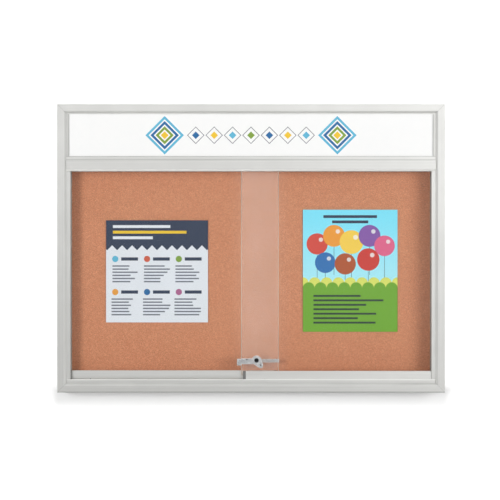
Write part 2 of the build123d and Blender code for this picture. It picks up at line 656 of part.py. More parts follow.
def shoe_caps(shoe, depth):
    """Plastic caps on the two ends of a shoe, slotted for the glass and notched over the rib."""
    slot = GLASS / 2 + FIT
    notch = RIB_WIDTH / 2 + RIB_CLEARANCE
    with BuildPart() as caps:
        for right in (shoe[0], shoe[1] + CAP_LENGTH):
            with BuildSketch(section_plane(right)):
                shoe_outline(depth)
                area(depth - slot, depth + slot, GLASS_BOTTOM - FIT, SHOE_TOP, Mode.SUBTRACT)
                rib_top = TRACK_FLOOR + RIB_HEIGHT + RIB_CLEARANCE
                area(depth - notch, depth + notch, SHOE_BOTTOM, rib_top, Mode.SUBTRACT)
            extrude(amount=CAP_LENGTH)
    return caps


def glass_gasket(shoe, depth):
    """A U-shaped strip between a pane and the pocket of its shoe."""
    pocket = GLASS / 2 + GASKET
    with BuildPart() as strip:
        with BuildSketch(section_plane(shoe[1])):
            area(depth - pocket, depth + pocket, POCKET_FLOOR, SHOE_TOP - GASKET)
            area(depth - GLASS / 2, depth + GLASS / 2, GLASS_BOTTOM, SHOE_TOP, Mode.SUBTRACT)
        extrude(amount=shoe[1] - shoe[0])
    return strip


def roller_axles(shoe, depth):
    """The two pins that the rollers of a shoe turn on."""
    with BuildPart() as pins:
        with BuildSketch(front_plane(depth - SHOE_WIDTH / 2)):
            with Locations(*((x, ROLLER_Z) for x in roller_places(shoe))):
                Circle(AXLE_RADIUS)
        extrude(amount=SHOE_WIDTH)
    return pins


def roller(x, depth):
    """A grooved nylon roller."""
    bore = AXLE_RADIUS + AXLE_PLAY
    centre = Plane((x, -depth, ROLLER_Z), x_dir=(0, -1, 0), z_dir=(-1, 0, 0))
    with BuildPart() as wheel:
        with BuildSketch(centre):
            area(-ROLLER_WIDTH / 2, ROLLER_WIDTH / 2, bore, ROLLER_RADIUS)
            groove = ROLLER_GROOVE_WIDTH / 2
            area(-groove, groove, ROLLER_GROOVE_RADIUS, ROLLER_RADIUS, Mode.SUBTRACT)
        revolve(axis=Axis(centre.origin, (0, -1, 0)))
    return wheel


left_door_glass = door_glass(-DOOR_STOP, REAR_EDGE, REAR_DOOR)
right_door_glass = door_glass(FRONT_EDGE, DOOR_STOP, FRONT_DOOR)
left_door_shoe = door_shoe(LEFT_SHOE, REAR_DOOR)
right_door_shoe = door_shoe(RIGHT_SHOE, FRONT_DOOR)
left_door_caps = shoe_caps(LEFT_SHOE, REAR_DOOR)
right_door_caps = shoe_caps(RIGHT_SHOE, FRONT_DOOR)
left_door_gasket = glass_gasket(LEFT_SHOE, REAR_DOOR)
right_door_gasket = glass_gasket(RIGHT_SHOE, FRONT_DOOR)
left_door_axles = roller_axles(LEFT_SHOE, REAR_DOOR)
right_door_axles = roller_axles(RIGHT_SHOE, FRONT_DOOR)
left_roller_outer, left_roller_inner = (roller(x, REAR_DOOR) for x in roller_places(LEFT_SHOE))
right_roller_inner, right_roller_outer = (roller(x, FRONT_DOOR) for x in roller_places(RIGHT_SHOE))

# Lock bar, hooked round the edge of the rear door
HOOK_BACK = REAR_DOOR - GLASS / 2 - BAR_PAD - BAR_THICKNESS
HOOK_RIGHT = REAR_EDGE + BAR_PAD + BAR_THICKNESS
HOOK_LEFT = REAR_EDGE - HOOK_LENGTH
with BuildPart() as lock_bar:
    with BuildSketch(plan_plane(BAR_BOTTOM)) as plan:
        area(HOOK_LEFT, HOOK_RIGHT, -HOOK_BACK, -BAR_FRONT)
        fillet(plan.vertices().group_by(Axis.X)[-1], HOOK_RADIUS + BAR_THICKNESS)
        with BuildSketch(mode=Mode.PRIVATE) as hollow:
            area(HOOK_LEFT, HOOK_RIGHT - BAR_THICKNESS, -HOOK_BACK - BAR_THICKNESS, -BAR_BACK)
            fillet(hollow.vertices().group_by(Axis.X)[-1], HOOK_RADIUS)
        add(hollow.sketch, mode=Mode.SUBTRACT)
        area(BAR_LEFT, HOOK_LEFT, -BAR_BACK, -BAR_FRONT)
    extrude(amount=BAR_HEIGHT)
    with BuildSketch(front_plane(BAR_BACK)):
        with Locations(*((TOOTH_X + i * NOTCH_PITCH, BAR_BOTTOM) for i in range(NOTCH_COUNT))):
            wedge(NOTCH_WIDTH / 2, NOTCH_TAPER, NOTCH_DEPTH)
    extrude(amount=BAR_THICKNESS, mode=Mode.SUBTRACT)
    fillet(lock_bar.edges().filter_by(Axis.Y).group_by(Axis.X)[0], BAR_ROUND)

with BuildPart() as lock_bar_pad:
    with BuildSketch(plan_plane(BAR_BOTTOM)) as plan:
        area(HOOK_LEFT, HOOK_RIGHT - BAR_THICKNESS, -HOOK_BACK - BAR_THICKNESS, -BAR_BACK)
        fillet(plan.vertices().group_by(Axis.X)[-1], HOOK_RADIUS)
        area(HOOK_LEFT, REAR_EDGE, GLASS / 2 - REAR_DOOR, -GLASS / 2 - REAR_DOOR, Mode.SUBTRACT)
    extrude(amount=BAR_HEIGHT)

# Lock, clipped round the free edge of the front door
LATCH_Z = BAR_Z - LATCH_DROP
BRIDGE_TOP = BAR_BOTTOM - TOOTH_DROP - TOOTH_HEIGHT
LATCH_FOOT = BRIDGE_TOP - LATCH_BRIDGE
PAD_HALF = CRANK + CRANK_PIN_RADIUS + PAD_MARGIN
PAD_LEFT = AXIS_X - PAD_HALF
PAD_RIGHT = AXIS_X + PAD_HALF
PAD_TOP = AXIS_Z - CRANK + PAD_ABOVE


def lock_outline():
    """The front outline of the lock, in the sketch being drawn."""
    with BuildSketch(mode=Mode.PRIVATE) as knob:
        with Locations((AXIS_X, AXIS_Z)):
            Circle(BOSS_RADIUS)
        with Locations((AXIS_X + LOBE_X, AXIS_Z + LOBE_Z)):
            Circle(LOBE_RADIUS)
        make_hull()
    add(knob.sketch)
    area(FRONT_EDGE, AXIS_X, BAR_Z - ARM_HALF, BAR_Z + ARM_HALF)


with BuildPart() as lock_housing:
    with BuildSketch(front_plane(BODY_BACK)):
        lock_outline()
    extrude(amount=LOCK_BODY)
    with BuildSketch(front_plane(HEAD_BACK)) as head:
        area(HEAD_LEFT, FRONT_EDGE, BAR_Z - HEAD_BELOW, BAR_Z + HEAD_ABOVE)
        fillet(head.vertices().group_by(Axis.X)[0], HEAD_ROUND)
    extrude(amount=BODY_FRONT - HEAD_BACK)
    with BuildSketch(front_plane(FRONT_DOOR - GLASS / 2)):
        area(FRONT_EDGE, FRONT_EDGE + CLAMP_LEG_LENGTH, BAR_Z - CLAMP_LEG_HALF, BAR_Z + CLAMP_LEG_HALF)
    extrude(amount=-CLAMP_LEG_THICKNESS)
    fillet(lock_housing.faces().sort_by(Axis.Y)[0].edges(), LOCK_ROUND)
    with BuildSketch(front_plane(BODY_FRONT)):
        with Locations((AXIS_X, AXIS_Z)):
            Circle(COLLAR_RADIUS)
    extrude(amount=LOCK_BOSS)
    with BuildSketch(front_plane(BODY_BACK)):
        leg_roof = LATCH_Z + LATCH_LEG + CRANK + LATCH_PLAY
        pad_roof = PAD_TOP + CRANK + LATCH_PLAY
        area(TOOTH_X - LATCH_HALF - LATCH_PLAY, PAD_LEFT, LATCH_Z - LATCH_PLAY, leg_roof)
        area(PAD_LEFT - LATCH_PLAY, PAD_RIGHT + LATCH_PLAY, LATCH_Z - LATCH_PLAY, pad_roof)
    extrude(amount=LATCH_ROOF - BODY_BACK, mode=Mode.SUBTRACT)
    with BuildSketch(front_plane(HEAD_BACK)):
        side = LATCH_HALF + LATCH_PLAY
        area(TOOTH_X - side, TOOTH_X + side, LATCH_FOOT - LATCH_PLAY, LATCH_Z + LATCH_LEG)
    extrude(amount=LATCH_ROOF - HEAD_BACK, mode=Mode.SUBTRACT)
    with BuildSketch(section_plane(FRONT_EDGE)):
        groove = BAR_HEIGHT / 2 + BAR_PLAY
        area(HEAD_BACK, BAR_FRONT + BAR_PLAY, BAR_Z - groove, BAR_Z + groove)
    extrude(amount=HEAD_LENGTH, mode=Mode.SUBTRACT)
    drill(front_plane(BOSS_FRONT), [(AXIS_X, AXIS_Z)], SLEEVE_RADIUS, BOSS_FRONT - LATCH_ROOF)
    drill(front_plane(BODY_FRONT), CLAMP_SCREWS, CLAMP_SCREW_RADIUS, LOCK_BODY)

with BuildPart() as lock_back_plate:
    with BuildSketch(front_plane(GLASS_FACE)):
        lock_outline()
    extrude(amount=LOCK_PLATE)
    drill(front_plane(BODY_BACK), CLAMP_SCREWS, CLAMP_SCREW_RADIUS, LOCK_PLATE)

with BuildPart() as lock_clamp_screws:
    with BuildSketch(front_plane(GLASS_FACE)):
        with Locations(*CLAMP_SCREWS):
            Circle(CLAMP_SCREW_RADIUS)
    extrude(amount=LOCK_PLATE + LOCK_BODY - CLAMP_SCREW_SINK)
    with BuildSketch(front_plane(BODY_FRONT - CLAMP_SCREW_SINK)):
        with Locations(*CLAMP_SCREWS):
            RegularPolygon(HEX_RADIUS, 6)
    extrude(amount=-HEX_DEPTH, mode=Mode.SUBTRACT)

with BuildPart() as lock_cylinder:
    with BuildSketch(front_plane(LATCH_ROOF)):
        with Locations((AXIS_X, AXIS_Z)):
            Circle(SLEEVE_RADIUS)
    extrude(amount=BOSS_FRONT - LATCH_ROOF)
    with BuildSketch(front_plane(BOSS_FRONT)):
        with Locations((AXIS_X, AXIS_Z)):
            Circle(SLEEVE_FLANGE_RADIUS)
    extrude(amount=SLEEVE_FLANGE)
    chamfer(lock_cylinder.faces().sort_by(Axis.Y)[0].edges(), SLEEVE_CHAMFER)
    bore = front_plane(BOSS_FRONT + SLEEVE_FLANGE)
    drill(bore, [(AXIS_X, AXIS_Z)], PLUG_RADIUS + PLUG_PLAY, BOSS_FRONT + SLEEVE_FLANGE - LATCH_ROOF)

PLUG_FRONT = BOSS_FRONT + SLEEVE_FLANGE - PLUG_SETBACK
with BuildPart() as key_plug:
    with BuildSketch(front_plane(LATCH_ROOF)):
        with Locations((AXIS_X, AXIS_Z)):
            Circle(PLUG_RADIUS)
    extrude(amount=PLUG_FRONT - LATCH_ROOF)
    with BuildSketch(front_plane(PLUG_FRONT)):
        with Locations((AXIS_X, AXIS_Z)):
            Rectangle(KEYWAY_WIDTH, KEYWAY_HEIGHT)
    extrude(amount=-KEYWAY_DEPTH, mode=Mode.SUBTRACT)
    with BuildSketch(front_plane(LATCH_ROOF)):
        with Locations((AXIS_X, AXIS_Z - CRANK)):
            Circle(CRANK_PIN_RADIUS)
    extrude(amount=LATCH_BACK - LATCH_ROOF)

with BuildPart() as latch_slide:
    with BuildSketch(front_plane(LATCH_BACK)):
        area(TOOTH_X - LATCH_HALF, PAD_LEFT, LATCH_Z, LATCH_Z + LATCH_LEG)
        area(PAD_LEFT, PAD_RIGHT, LATCH_Z, PAD_TOP)
        area(TOOTH_X - LATCH_HALF, TOOTH_X + LATCH_HALF, LATCH_FOOT, LATCH_Z)
        slot_length = 2 * (CRANK + CRANK_PIN_RADIUS + SLOT_END_PLAY)
        with Locations((AXIS_X, AXIS_Z - CRANK)):
            SlotOverall(slot_length, 2 * (CRANK_PIN_RADIUS + SLOT_PLAY), mode=Mode.SUBTRACT)
    extrude(amount=LATCH_THICKNESS)
    with BuildSketch(front_plane(BAR_BACK)):
        area(TOOTH_X - LATCH_HALF, TOOTH_X + LATCH_HALF, LATCH_FOOT, BRIDGE_TOP)
    extrude(amount=LATCH_FRONT - BAR_BACK)
    with BuildSketch(front_plane(BAR_BACK)):
        with Locations((TOOTH_X, BRIDGE_TOP)):
            wedge(NOTCH_WIDTH / 2 - TOOTH_PLAY, NOTCH_TAPER, TOOTH_HEIGHT)
    extrude(amount=BAR_THICKNESS)

NODES = {
    "frame_top": frame_top,
    "frame_bottom": frame_bottom,
    "frame_left": frame_left,
    "frame_right": frame_right,
    "corner_keys": corner_keys,
    "wall_rail_upper": wall_rail_upper,
    "wall_rail_lower": wall_rail_lower,
    "hanger_rail_upper": hanger_rail_upper,
    "hanger_rail_lower": hanger_rail_lower,
    "hanger_screws": hanger_screws,
    "backing_board": backing_board,
    "cork_sheet": cork_sheet,
    "notice_left": notice_left,
    "notice_right": notice_right,
    "divider_rail": divider_rail,
    "divider_brackets": divider_brackets,
    "divider_screws": divider_screws,
    "header_panel": header_panel,
    "header_channel_left": header_channel_left,
    "header_channel_right": header_channel_right,
    "header_channel_top": header_channel_top,
    "upper_track": upper_track,
    "upper_track_screws": upper_track_screws,
    "lower_track": lower_track,
    "lower_track_screws": lower_track_screws,
    "jamb_left": jamb_left,
    "jamb_right": jamb_right,
    "jamb_bumpers": jamb_bumpers,
    "left_door_glass": left_door_glass,
    "left_door_shoe": left_door_shoe,
    "left_door_caps": left_door_caps,
    "left_door_gasket": left_door_gasket,
    "left_door_axles": left_door_axles,
    "left_roller_outer": left_roller_outer,
    "left_roller_inner": left_roller_inner,
    "right_door_glass": right_door_glass,
    "right_door_shoe": right_door_shoe,
    "right_door_caps": right_door_caps,
    "right_door_gasket": right_door_gasket,
    "right_door_axles": right_door_axles,
    "right_roller_inner": right_roller_inner,
    "right_roller_outer": right_roller_outer,
    "lock_bar": lock_bar,
    "lock_bar_pad": lock_bar_pad,
    "lock_housing": lock_housing,
    "lock_back_plate": lock_back_plate,
    "lock_clamp_screws": lock_clamp_screws,
    "lock_cylinder": lock_cylinder,
    "key_plug": key_plug,
    "latch_slide": latch_slide,
}

os.makedirs("parts", exist_ok=True)
for name, node in NODES.items():
    node.part.label = name
    export_step(node.part, f"parts/{name}.step")
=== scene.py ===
# %% [markdown]
# # An enclosed notice board
# The board hangs on a wall. It is an aluminium case with a printed header, a cork back and two glass doors
# that slide past each other, held shut by a small keyed lock. The measured parts come ready made, so this
# lesson dresses them: it gives each part the finish of the real thing, models the few pieces that are too
# fine for a measured drawing, and sets up a plain studio to look at the board in.

# %% Load the measured parts
import bpy
import json
from math import cos, pi, sin
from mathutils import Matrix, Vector


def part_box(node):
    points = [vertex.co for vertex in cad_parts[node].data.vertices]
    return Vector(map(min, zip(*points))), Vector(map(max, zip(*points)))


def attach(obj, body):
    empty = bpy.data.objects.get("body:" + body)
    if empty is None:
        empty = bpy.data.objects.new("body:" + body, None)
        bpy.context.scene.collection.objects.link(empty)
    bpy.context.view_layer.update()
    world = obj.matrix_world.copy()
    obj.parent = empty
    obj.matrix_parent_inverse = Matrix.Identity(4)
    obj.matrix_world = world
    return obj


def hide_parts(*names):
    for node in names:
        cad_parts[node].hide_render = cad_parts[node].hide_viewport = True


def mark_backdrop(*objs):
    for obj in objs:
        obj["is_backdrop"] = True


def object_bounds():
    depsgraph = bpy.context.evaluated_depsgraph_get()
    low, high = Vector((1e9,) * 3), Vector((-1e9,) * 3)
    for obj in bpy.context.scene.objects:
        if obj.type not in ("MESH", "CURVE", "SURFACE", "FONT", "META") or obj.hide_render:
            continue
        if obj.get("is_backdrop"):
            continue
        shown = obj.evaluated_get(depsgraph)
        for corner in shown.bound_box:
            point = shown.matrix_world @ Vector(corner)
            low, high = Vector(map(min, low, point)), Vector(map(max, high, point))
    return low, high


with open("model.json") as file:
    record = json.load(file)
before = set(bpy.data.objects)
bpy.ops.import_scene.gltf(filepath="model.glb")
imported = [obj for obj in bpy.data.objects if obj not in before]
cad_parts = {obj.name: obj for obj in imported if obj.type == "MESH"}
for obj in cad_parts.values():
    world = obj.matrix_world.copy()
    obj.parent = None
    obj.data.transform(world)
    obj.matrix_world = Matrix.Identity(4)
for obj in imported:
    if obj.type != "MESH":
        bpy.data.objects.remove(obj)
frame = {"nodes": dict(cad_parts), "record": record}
parts = frame["nodes"]
case_low, case_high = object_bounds()
print(len(parts), "measured parts in a box of", [round(side, 4) for side in case_high - case_low])

# %% [markdown]
# ## Camera
# The photograph looks straight at the board from a few metres away. A long lens could stand anywhere along
# that line, so its distance is worked out from two facts: the lens and how wide one pixel is at the front
# of the case. The board sits a touch right of and above the middle of the picture, and the camera moves by
# that much the other way, so the lens needs no shift.

# %% Set the camera
PICTURE = 500  # pixels, each way
CASE_IN_PICTURE = 388.0  # pixels, the width of the case
CASE_MIDDLE = (251.0, 248.25)  # pixels, from the top left
SENSOR = 36.0  # millimetres
LENS = 80.0
MM = 1000  # millimetres in a metre

pixel = (case_high.x - case_low.x) / CASE_IN_PICTURE
distance = PICTURE * pixel * LENS / SENSOR
offset_x = (PICTURE / 2 - CASE_MIDDLE[0]) * pixel
offset_z = (CASE_MIDDLE[1] - PICTURE / 2) * pixel
bpy.ops.object.camera_add(location=(offset_x, case_low.y - distance, offset_z), rotation=(pi / 2, 0, 0))
camera = bpy.context.object
camera.data.sensor_width = SENSOR
camera.data.lens = LENS
bpy.context.scene.camera = camera
print("camera", round(distance, 3), "m before the case; one pixel is", round(pixel * MM, 3), "mm")

# %% [markdown]
# ## Building shaders in code
# A finish is a small tree of nodes. Adding nodes one call at a time hides the idea behind bookkeeping, so
# short helpers do it. One adds any node with its inputs. The others stand for what is needed most:
# arithmetic on values and vectors, a value turned into a soft-edged mask or stretched between two numbers,
# and the place where several masks overlap.

# %% Helpers for shader trees
def put(tree, kind, inputs=None, **settings):
    """Adds a node. An input that is a socket is linked, and any other is set as a value."""
    made = tree.nodes.new(kind)
    for name, value in settings.items():
        setattr(made, name, value)
    for name, value in (inputs or {}).items():
        if isinstance(value, bpy.types.NodeSocket):
            tree.links.new(value, made.inputs[name])
        else:
            made.inputs[name].default_value = value
    return made


def calc(tree, operation, *values):
    """The result of a sum, a product or another operation on values or sockets."""
    return put(tree, "ShaderNodeMath", dict(enumerate(values)), operation=operation).outputs[0]


def vector(tree, operation, *values):
    """The outputs of an operation on vectors."""
    return put(tree, "ShaderNodeVectorMath", dict(enumerate(values)), operation=operation).outputs


def split(tree, place):
    """The X, Y and Z of a place or a direction."""
    return put(tree, "ShaderNodeSeparateXYZ", {0: place}).outputs


def ease(tree, value, start, end):
    """A smooth step from 0 at start to 1 at end."""
    limits = {"Value": value, "From Min": start, "From Max": end}
    return put(tree, "ShaderNodeMapRange", limits, interpolation_type="SMOOTHSTEP").outputs[0]


def spread(tree, value, low, high):
    """A value from 0 to 1 stretched between two numbers."""
    limits = {"Value": value, "To Min": low, "To Max": high}
    return put(tree, "ShaderNodeMapRange", limits).outputs[0]


def overlap(tree, *masks):
    """The product of masks, which is 1 only where all of them are."""
    product = masks[0]
    for mask in masks[1:]:
        product = calc(tree, "MULTIPLY", product, mask)
    return product


print("helpers for nodes, sums and masks are ready")

# %% [markdown]
# ## Studio
# The board is lit as in a catalogue. Matt surfaces get a dim even room with a wide soft light in front and
# a little above, and metal and glass get a brighter room to mirror. A world shader tells the two apart by
# the kind of ray that asks. Behind the wall the room is brighter, so that the back can be looked at too.

# %% Light for matt surfaces
ROOM_LEVEL = 0.16
ROOM_ABOVE = 0.94  # more light from in front and above
ROOM_TILT = 0.15  # radians above straight ahead
SOFTBOX_POWER = 6.0  # a higher power makes the soft light narrower
ROOM_BEHIND = 0.6  # more light behind the wall
BEHIND_RANGE = (0.0, 0.4)  # where that light starts and is full

world = bpy.data.worlds.new("pale_room")
bpy.context.scene.world = world
world.use_nodes = True
room = world.node_tree
room.nodes.clear()
looking = put(room, "ShaderNodeTexCoord").outputs["Generated"]
toward = split(room, looking)
aim = (0.0, -cos(ROOM_TILT), sin(ROOM_TILT))
near_aim = vector(room, "DOT_PRODUCT", looking, aim)["Value"]
softbox = calc(room, "POWER", calc(room, "MAXIMUM", near_aim, 0.0), SOFTBOX_POWER)
level = calc(room, "MULTIPLY_ADD", softbox, ROOM_ABOVE, ROOM_LEVEL)
level = calc(room, "MULTIPLY_ADD", ease(room, toward["Y"], *BEHIND_RANGE), ROOM_BEHIND, level)
print("room light from", ROOM_LEVEL, "to", round(ROOM_LEVEL + ROOM_ABOVE, 2))

# %% [markdown]
# The mirrored room is brightest in front and towards the right, and darker towards the ground, which gives
# the metal its slow gradients. A dark card as wide as the panes stands behind the camera and keeps the
# glass clear. A world is endless, so only directions count, and each of these is a mask over the direction.

# %% What metal and glass mirror
MIRROR_LEVEL = 0.94  # at the sides
MIRROR_FRONT = 1.02  # more of it in front
MIRROR_RIGHT = 2.4  # and more there towards the right
MIRROR_ABOVE = 0.4  # and towards the top
MIRROR_LEAST = 0.1
FRONT_POWER = 7.0  # a higher power makes the front narrower
SIDE_LIMIT = 0.22  # further to the side than this makes no difference
CARD_SHARE = 0.76  # how much of it the card takes away
CARD_X = (0.2, 0.165)  # where the card starts and is full, to each side
CARD_Z = (0.15, 0.11)  # the same, up and down
CARD_FRONT = (0.0, 0.5)
GROUND_SHARE = 0.6  # how much of it the ground takes away
GROUND_TOP = (-0.03, -0.15)  # where the ground starts and is full
GROUND_FOOT = (-0.7, -0.35)  # where it ends and is still full
GROUND_FRONT = (0.2, 0.7)

in_front = calc(room, "MAXIMUM", calc(room, "MULTIPLY", toward["Y"], -1.0), 0.0)
rightward = calc(room, "MINIMUM", calc(room, "MAXIMUM", toward["X"], -SIDE_LIMIT), SIDE_LIMIT)
rise = calc(room, "MULTIPLY_ADD", rightward, MIRROR_RIGHT, MIRROR_FRONT)
rise = calc(room, "MULTIPLY_ADD", toward["Z"], MIRROR_ABOVE, rise)
mirrored = calc(room, "MULTIPLY_ADD", calc(room, "POWER", in_front, FRONT_POWER), rise, MIRROR_LEVEL)
mirrored = calc(room, "MAXIMUM", mirrored, MIRROR_LEAST)
card_x = ease(room, calc(room, "ABSOLUTE", toward["X"]), *CARD_X)
card_z = ease(room, calc(room, "ABSOLUTE", toward["Z"]), *CARD_Z)
card = overlap(room, card_x, card_z, ease(room, in_front, *CARD_FRONT))
mirrored = calc(room, "MULTIPLY", mirrored, spread(room, card, 1.0, 1.0 - CARD_SHARE))
starts = ease(room, toward["Z"], *GROUND_TOP)
ends = ease(room, toward["Z"], *GROUND_FOOT)
ground = overlap(room, starts, ends, ease(room, in_front, *GROUND_FRONT))
mirrored = calc(room, "MULTIPLY", mirrored, spread(room, ground, 1.0, 1.0 - GROUND_SHARE))
print("mirrored light", MIRROR_LEVEL, "at the sides and", MIRROR_LEVEL + MIRROR_FRONT, "in front")

# %% Join the two rooms
rays = put(room, "ShaderNodeLightPath").outputs
sharp = calc(room, "MAXIMUM", rays["Is Glossy Ray"], rays["Is Transmission Ray"])
strength = put(room, "ShaderNodeMix", {0: sharp, 2: level, 3: mirrored}).outputs[0]
lit = put(room, "ShaderNodeBackground", {"Strength": strength})
seen = put(room, "ShaderNodeBackground", {"Color": (1.0, 1.0, 1.0, 1.0), "Strength": 1.0})
sky = put(room, "ShaderNodeMixShader", {0: rays["Is Camera Ray"], 1: lit.outputs[0], 2: seen.outputs[0]})
put(room, "ShaderNodeOutputWorld", {"Surface": sky.outputs[0]})
print("the room is a tree of", len(room.nodes), "nodes")

# %% [markdown]
# Two soft lamps stand in front, at the sides. The walls of the case cut them off, which gives the cork its
# darker margins, and they hang a little above the middle, so that the case leaves a shadow on the wall
# below. Metal and glass don't mirror them, because they have the mirrored room.

# %% Set up the lamps
def lamp(name, place, size, power):
    """A square soft lamp that points at the middle of the board."""
    bpy.ops.object.light_add(type="AREA", location=place)
    made = bpy.context.object
    made.name = name
    made.data.size = size
    made.data.energy = power
    made.visible_glossy = False
    made.visible_transmission = False
    made.rotation_euler = (-Vector(place)).to_track_quat("-Z", "Y").to_euler()
    print(name, "of", power, "W")


lamp("lamp_left", (-1.65, -3.2, 0.14), 0.8, 50.0)
lamp("lamp_right", (2.3, -3.1, 0.18), 1.8, 61.0)
bpy.context.scene.view_settings.view_transform = "Standard"

# %% [markdown]
# ## Wall and floor
# The case hangs flat on a white wall. The wall is a plane with a hole a little smaller than the case, so
# that the back of the board can still be looked at, and from behind it lets everything through. A touch of
# its own light makes it white to the eye. There is none just below the case, so that the shadow there
# stays. The floor lies well below.

# %% Make the paints
WALL_GLOW = 0.36
FLOOR_GLOW = 0.2
FOOT_GLOW = 0.0  # just below the case
FOOT_TOP = (0.02, -0.01)  # heights from the foot of the case between which the glow fades
FOOT_END = (-0.1, -0.03)  # and between which it is back
FOOT_SIDE = (0.055, 0.012)  # the same, beside the case


def stage_finish(name, colour, glow, foot_glow):
    """A matt paint with a glow of its own, less just below the case, and clear from behind."""
    made = bpy.data.materials.new(name)
    made.use_nodes = True
    tree = made.node_tree
    tree.nodes.clear()
    rays = put(tree, "ShaderNodeLightPath").outputs
    sharp = calc(tree, "MAXIMUM", rays["Is Glossy Ray"], rays["Is Transmission Ray"])
    shown = calc(tree, "MAXIMUM", rays["Is Camera Ray"], sharp)
    place = split(tree, put(tree, "ShaderNodeTexCoord").outputs["Object"])
    starts = ease(tree, place["Z"], *(case_low.z + limit for limit in FOOT_TOP))
    ends = ease(tree, place["Z"], *(case_low.z + limit for limit in FOOT_END))
    aside = calc(tree, "ABSOLUTE", place["X"])
    beside = ease(tree, aside, *(case_high.x + limit for limit in FOOT_SIDE))
    under = overlap(tree, starts, ends, beside)
    matt = put(tree, "ShaderNodeBsdfDiffuse", {"Color": colour})
    strength = calc(tree, "MULTIPLY", shown, spread(tree, under, glow, foot_glow))
    light = put(tree, "ShaderNodeEmission", {"Strength": strength})
    front = put(tree, "ShaderNodeAddShader", {0: matt.outputs[0], 1: light.outputs[0]})
    behind = put(tree, "ShaderNodeNewGeometry").outputs["Backfacing"]
    clear = put(tree, "ShaderNodeBsdfTransparent")
    both = put(tree, "ShaderNodeMixShader", {0: behind, 1: front.outputs[0], 2: clear.outputs[0]})
    put(tree, "ShaderNodeOutputMaterial", {"Surface": both.outputs[0]})
    return made


wall_paint = stage_finish("wall_paint", (0.88, 0.88, 0.88, 1.0), WALL_GLOW, FOOT_GLOW)
floor_paint = stage_finish("floor_paint", (0.6, 0.6, 0.59, 1.0), FLOOR_GLOW, FLOOR_GLOW)
print("paints:", wall_paint.name, floor_paint.name)

# %% Put up the wall and lay the floor
WALL_SIDE = 8.0
WALL_GAP = 0.0006
HOLE_MARGIN = 0.012
FLOOR_DROP = 1.3

bpy.ops.object.select_all(action="DESELECT")
bpy.ops.mesh.primitive_plane_add(size=WALL_SIDE, location=(0, WALL_GAP, 0), rotation=(pi / 2, 0, 0))
wall = bpy.context.object
wall.name = "wall"
bpy.ops.object.transform_apply(location=True, rotation=True, scale=True)
bpy.ops.object.mode_set(mode="EDIT")
bpy.ops.mesh.inset(thickness=WALL_SIDE / 4)
hole_x = (case_high.x - case_low.x - 2 * HOLE_MARGIN) / (WALL_SIDE / 2)
hole_z = (case_high.z - case_low.z - 2 * HOLE_MARGIN) / (WALL_SIDE / 2)
bpy.ops.transform.resize(value=(hole_x, 1, hole_z), center_override=(0, WALL_GAP, 0))
bpy.ops.mesh.delete(type="FACE")
bpy.ops.object.mode_set(mode="OBJECT")
wall.data.materials.append(wall_paint)

bpy.ops.mesh.primitive_plane_add(size=WALL_SIDE, location=(0, 0, case_low.z - FLOOR_DROP))
floor = bpy.context.object
floor.name = "floor"
floor.data.materials.append(floor_paint)
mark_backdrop(wall, floor)
print("wall with a hole of", round(hole_x * WALL_SIDE / 2, 3), "by", round(hole_z * WALL_SIDE / 2, 3), "m")

# %% [markdown]
# ## Effects that several finishes share
# Metal drawn through a die has streaks along its length, handled edges are rubbed bright, and almost every
# solid stuff has a fine grain. Each of these is a node group with named inputs and outputs, built once and
# placed in a finish with that finish's own numbers. The Bevel node finds edges: it gives the direction that
# the surface would face if its edges were rounded.

# %% Start a node group
FLOAT = "NodeSocketFloat"
VECTOR = "NodeSocketVector"


def new_group(name, gives, **takes):
    """A shader node group, with the masks that it gives and the sockets that it takes."""
    group = bpy.data.node_groups.new(name, "ShaderNodeTree")
    for socket, kind in takes.items():
        group.interface.new_socket(socket, in_out="INPUT", socket_type=kind)
    for socket in gives:
        group.interface.new_socket(socket, in_out="OUTPUT", socket_type=FLOAT)
    print("node group", name, "takes", list(takes), "and gives", gives)
    return group, put(group, "NodeGroupInput").outputs, put(group, "NodeGroupOutput").inputs


def use(tree, group, **inputs):
    """Places a node group in a tree and returns its outputs."""
    return put(tree, "ShaderNodeGroup", inputs, node_tree=group).outputs


def noise(tree, place, scale, detail):
    """The outputs of a cloudy noise."""
    return put(tree, "ShaderNodeTexNoise", {"Vector": place, "Scale": scale, "Detail": detail}).outputs


# %% Streaks of drawn metal
streaks, taken, given = new_group("drawn_streaks", ["Line", "Cloud"], Place=VECTOR, Stretch=VECTOR)
stretched = vector(streaks, "MULTIPLY", taken["Place"], taken["Stretch"])[0]
line = noise(streaks, stretched, 1.0, 4.0)[0]
cloud = noise(streaks, taken["Place"], 9.0, 2.0)[0]
streaks.links.new(ease(streaks, line, 0.25, 0.75), given["Line"])
streaks.links.new(ease(streaks, cloud, 0.3, 0.7), given["Cloud"])

# %% Rubbed edges
BEVEL_SAMPLES = 6

worn, taken, given = new_group("rubbed_edges", ["Edge"], Place=VECTOR, Radius=FLOAT)
rounded = put(worn, "ShaderNodeBevel", {"Radius": taken["Radius"]}, samples=BEVEL_SAMPLES).outputs[0]
flat = put(worn, "ShaderNodeNewGeometry").outputs["Normal"]
turned = ease(worn, vector(worn, "DOT_PRODUCT", rounded, flat)["Value"], 0.985, 0.86)
patchy = ease(worn, noise(worn, taken["Place"], 160.0, 3.0)[0], 0.3, 0.65)
worn.links.new(overlap(worn, turned, patchy), given["Edge"])

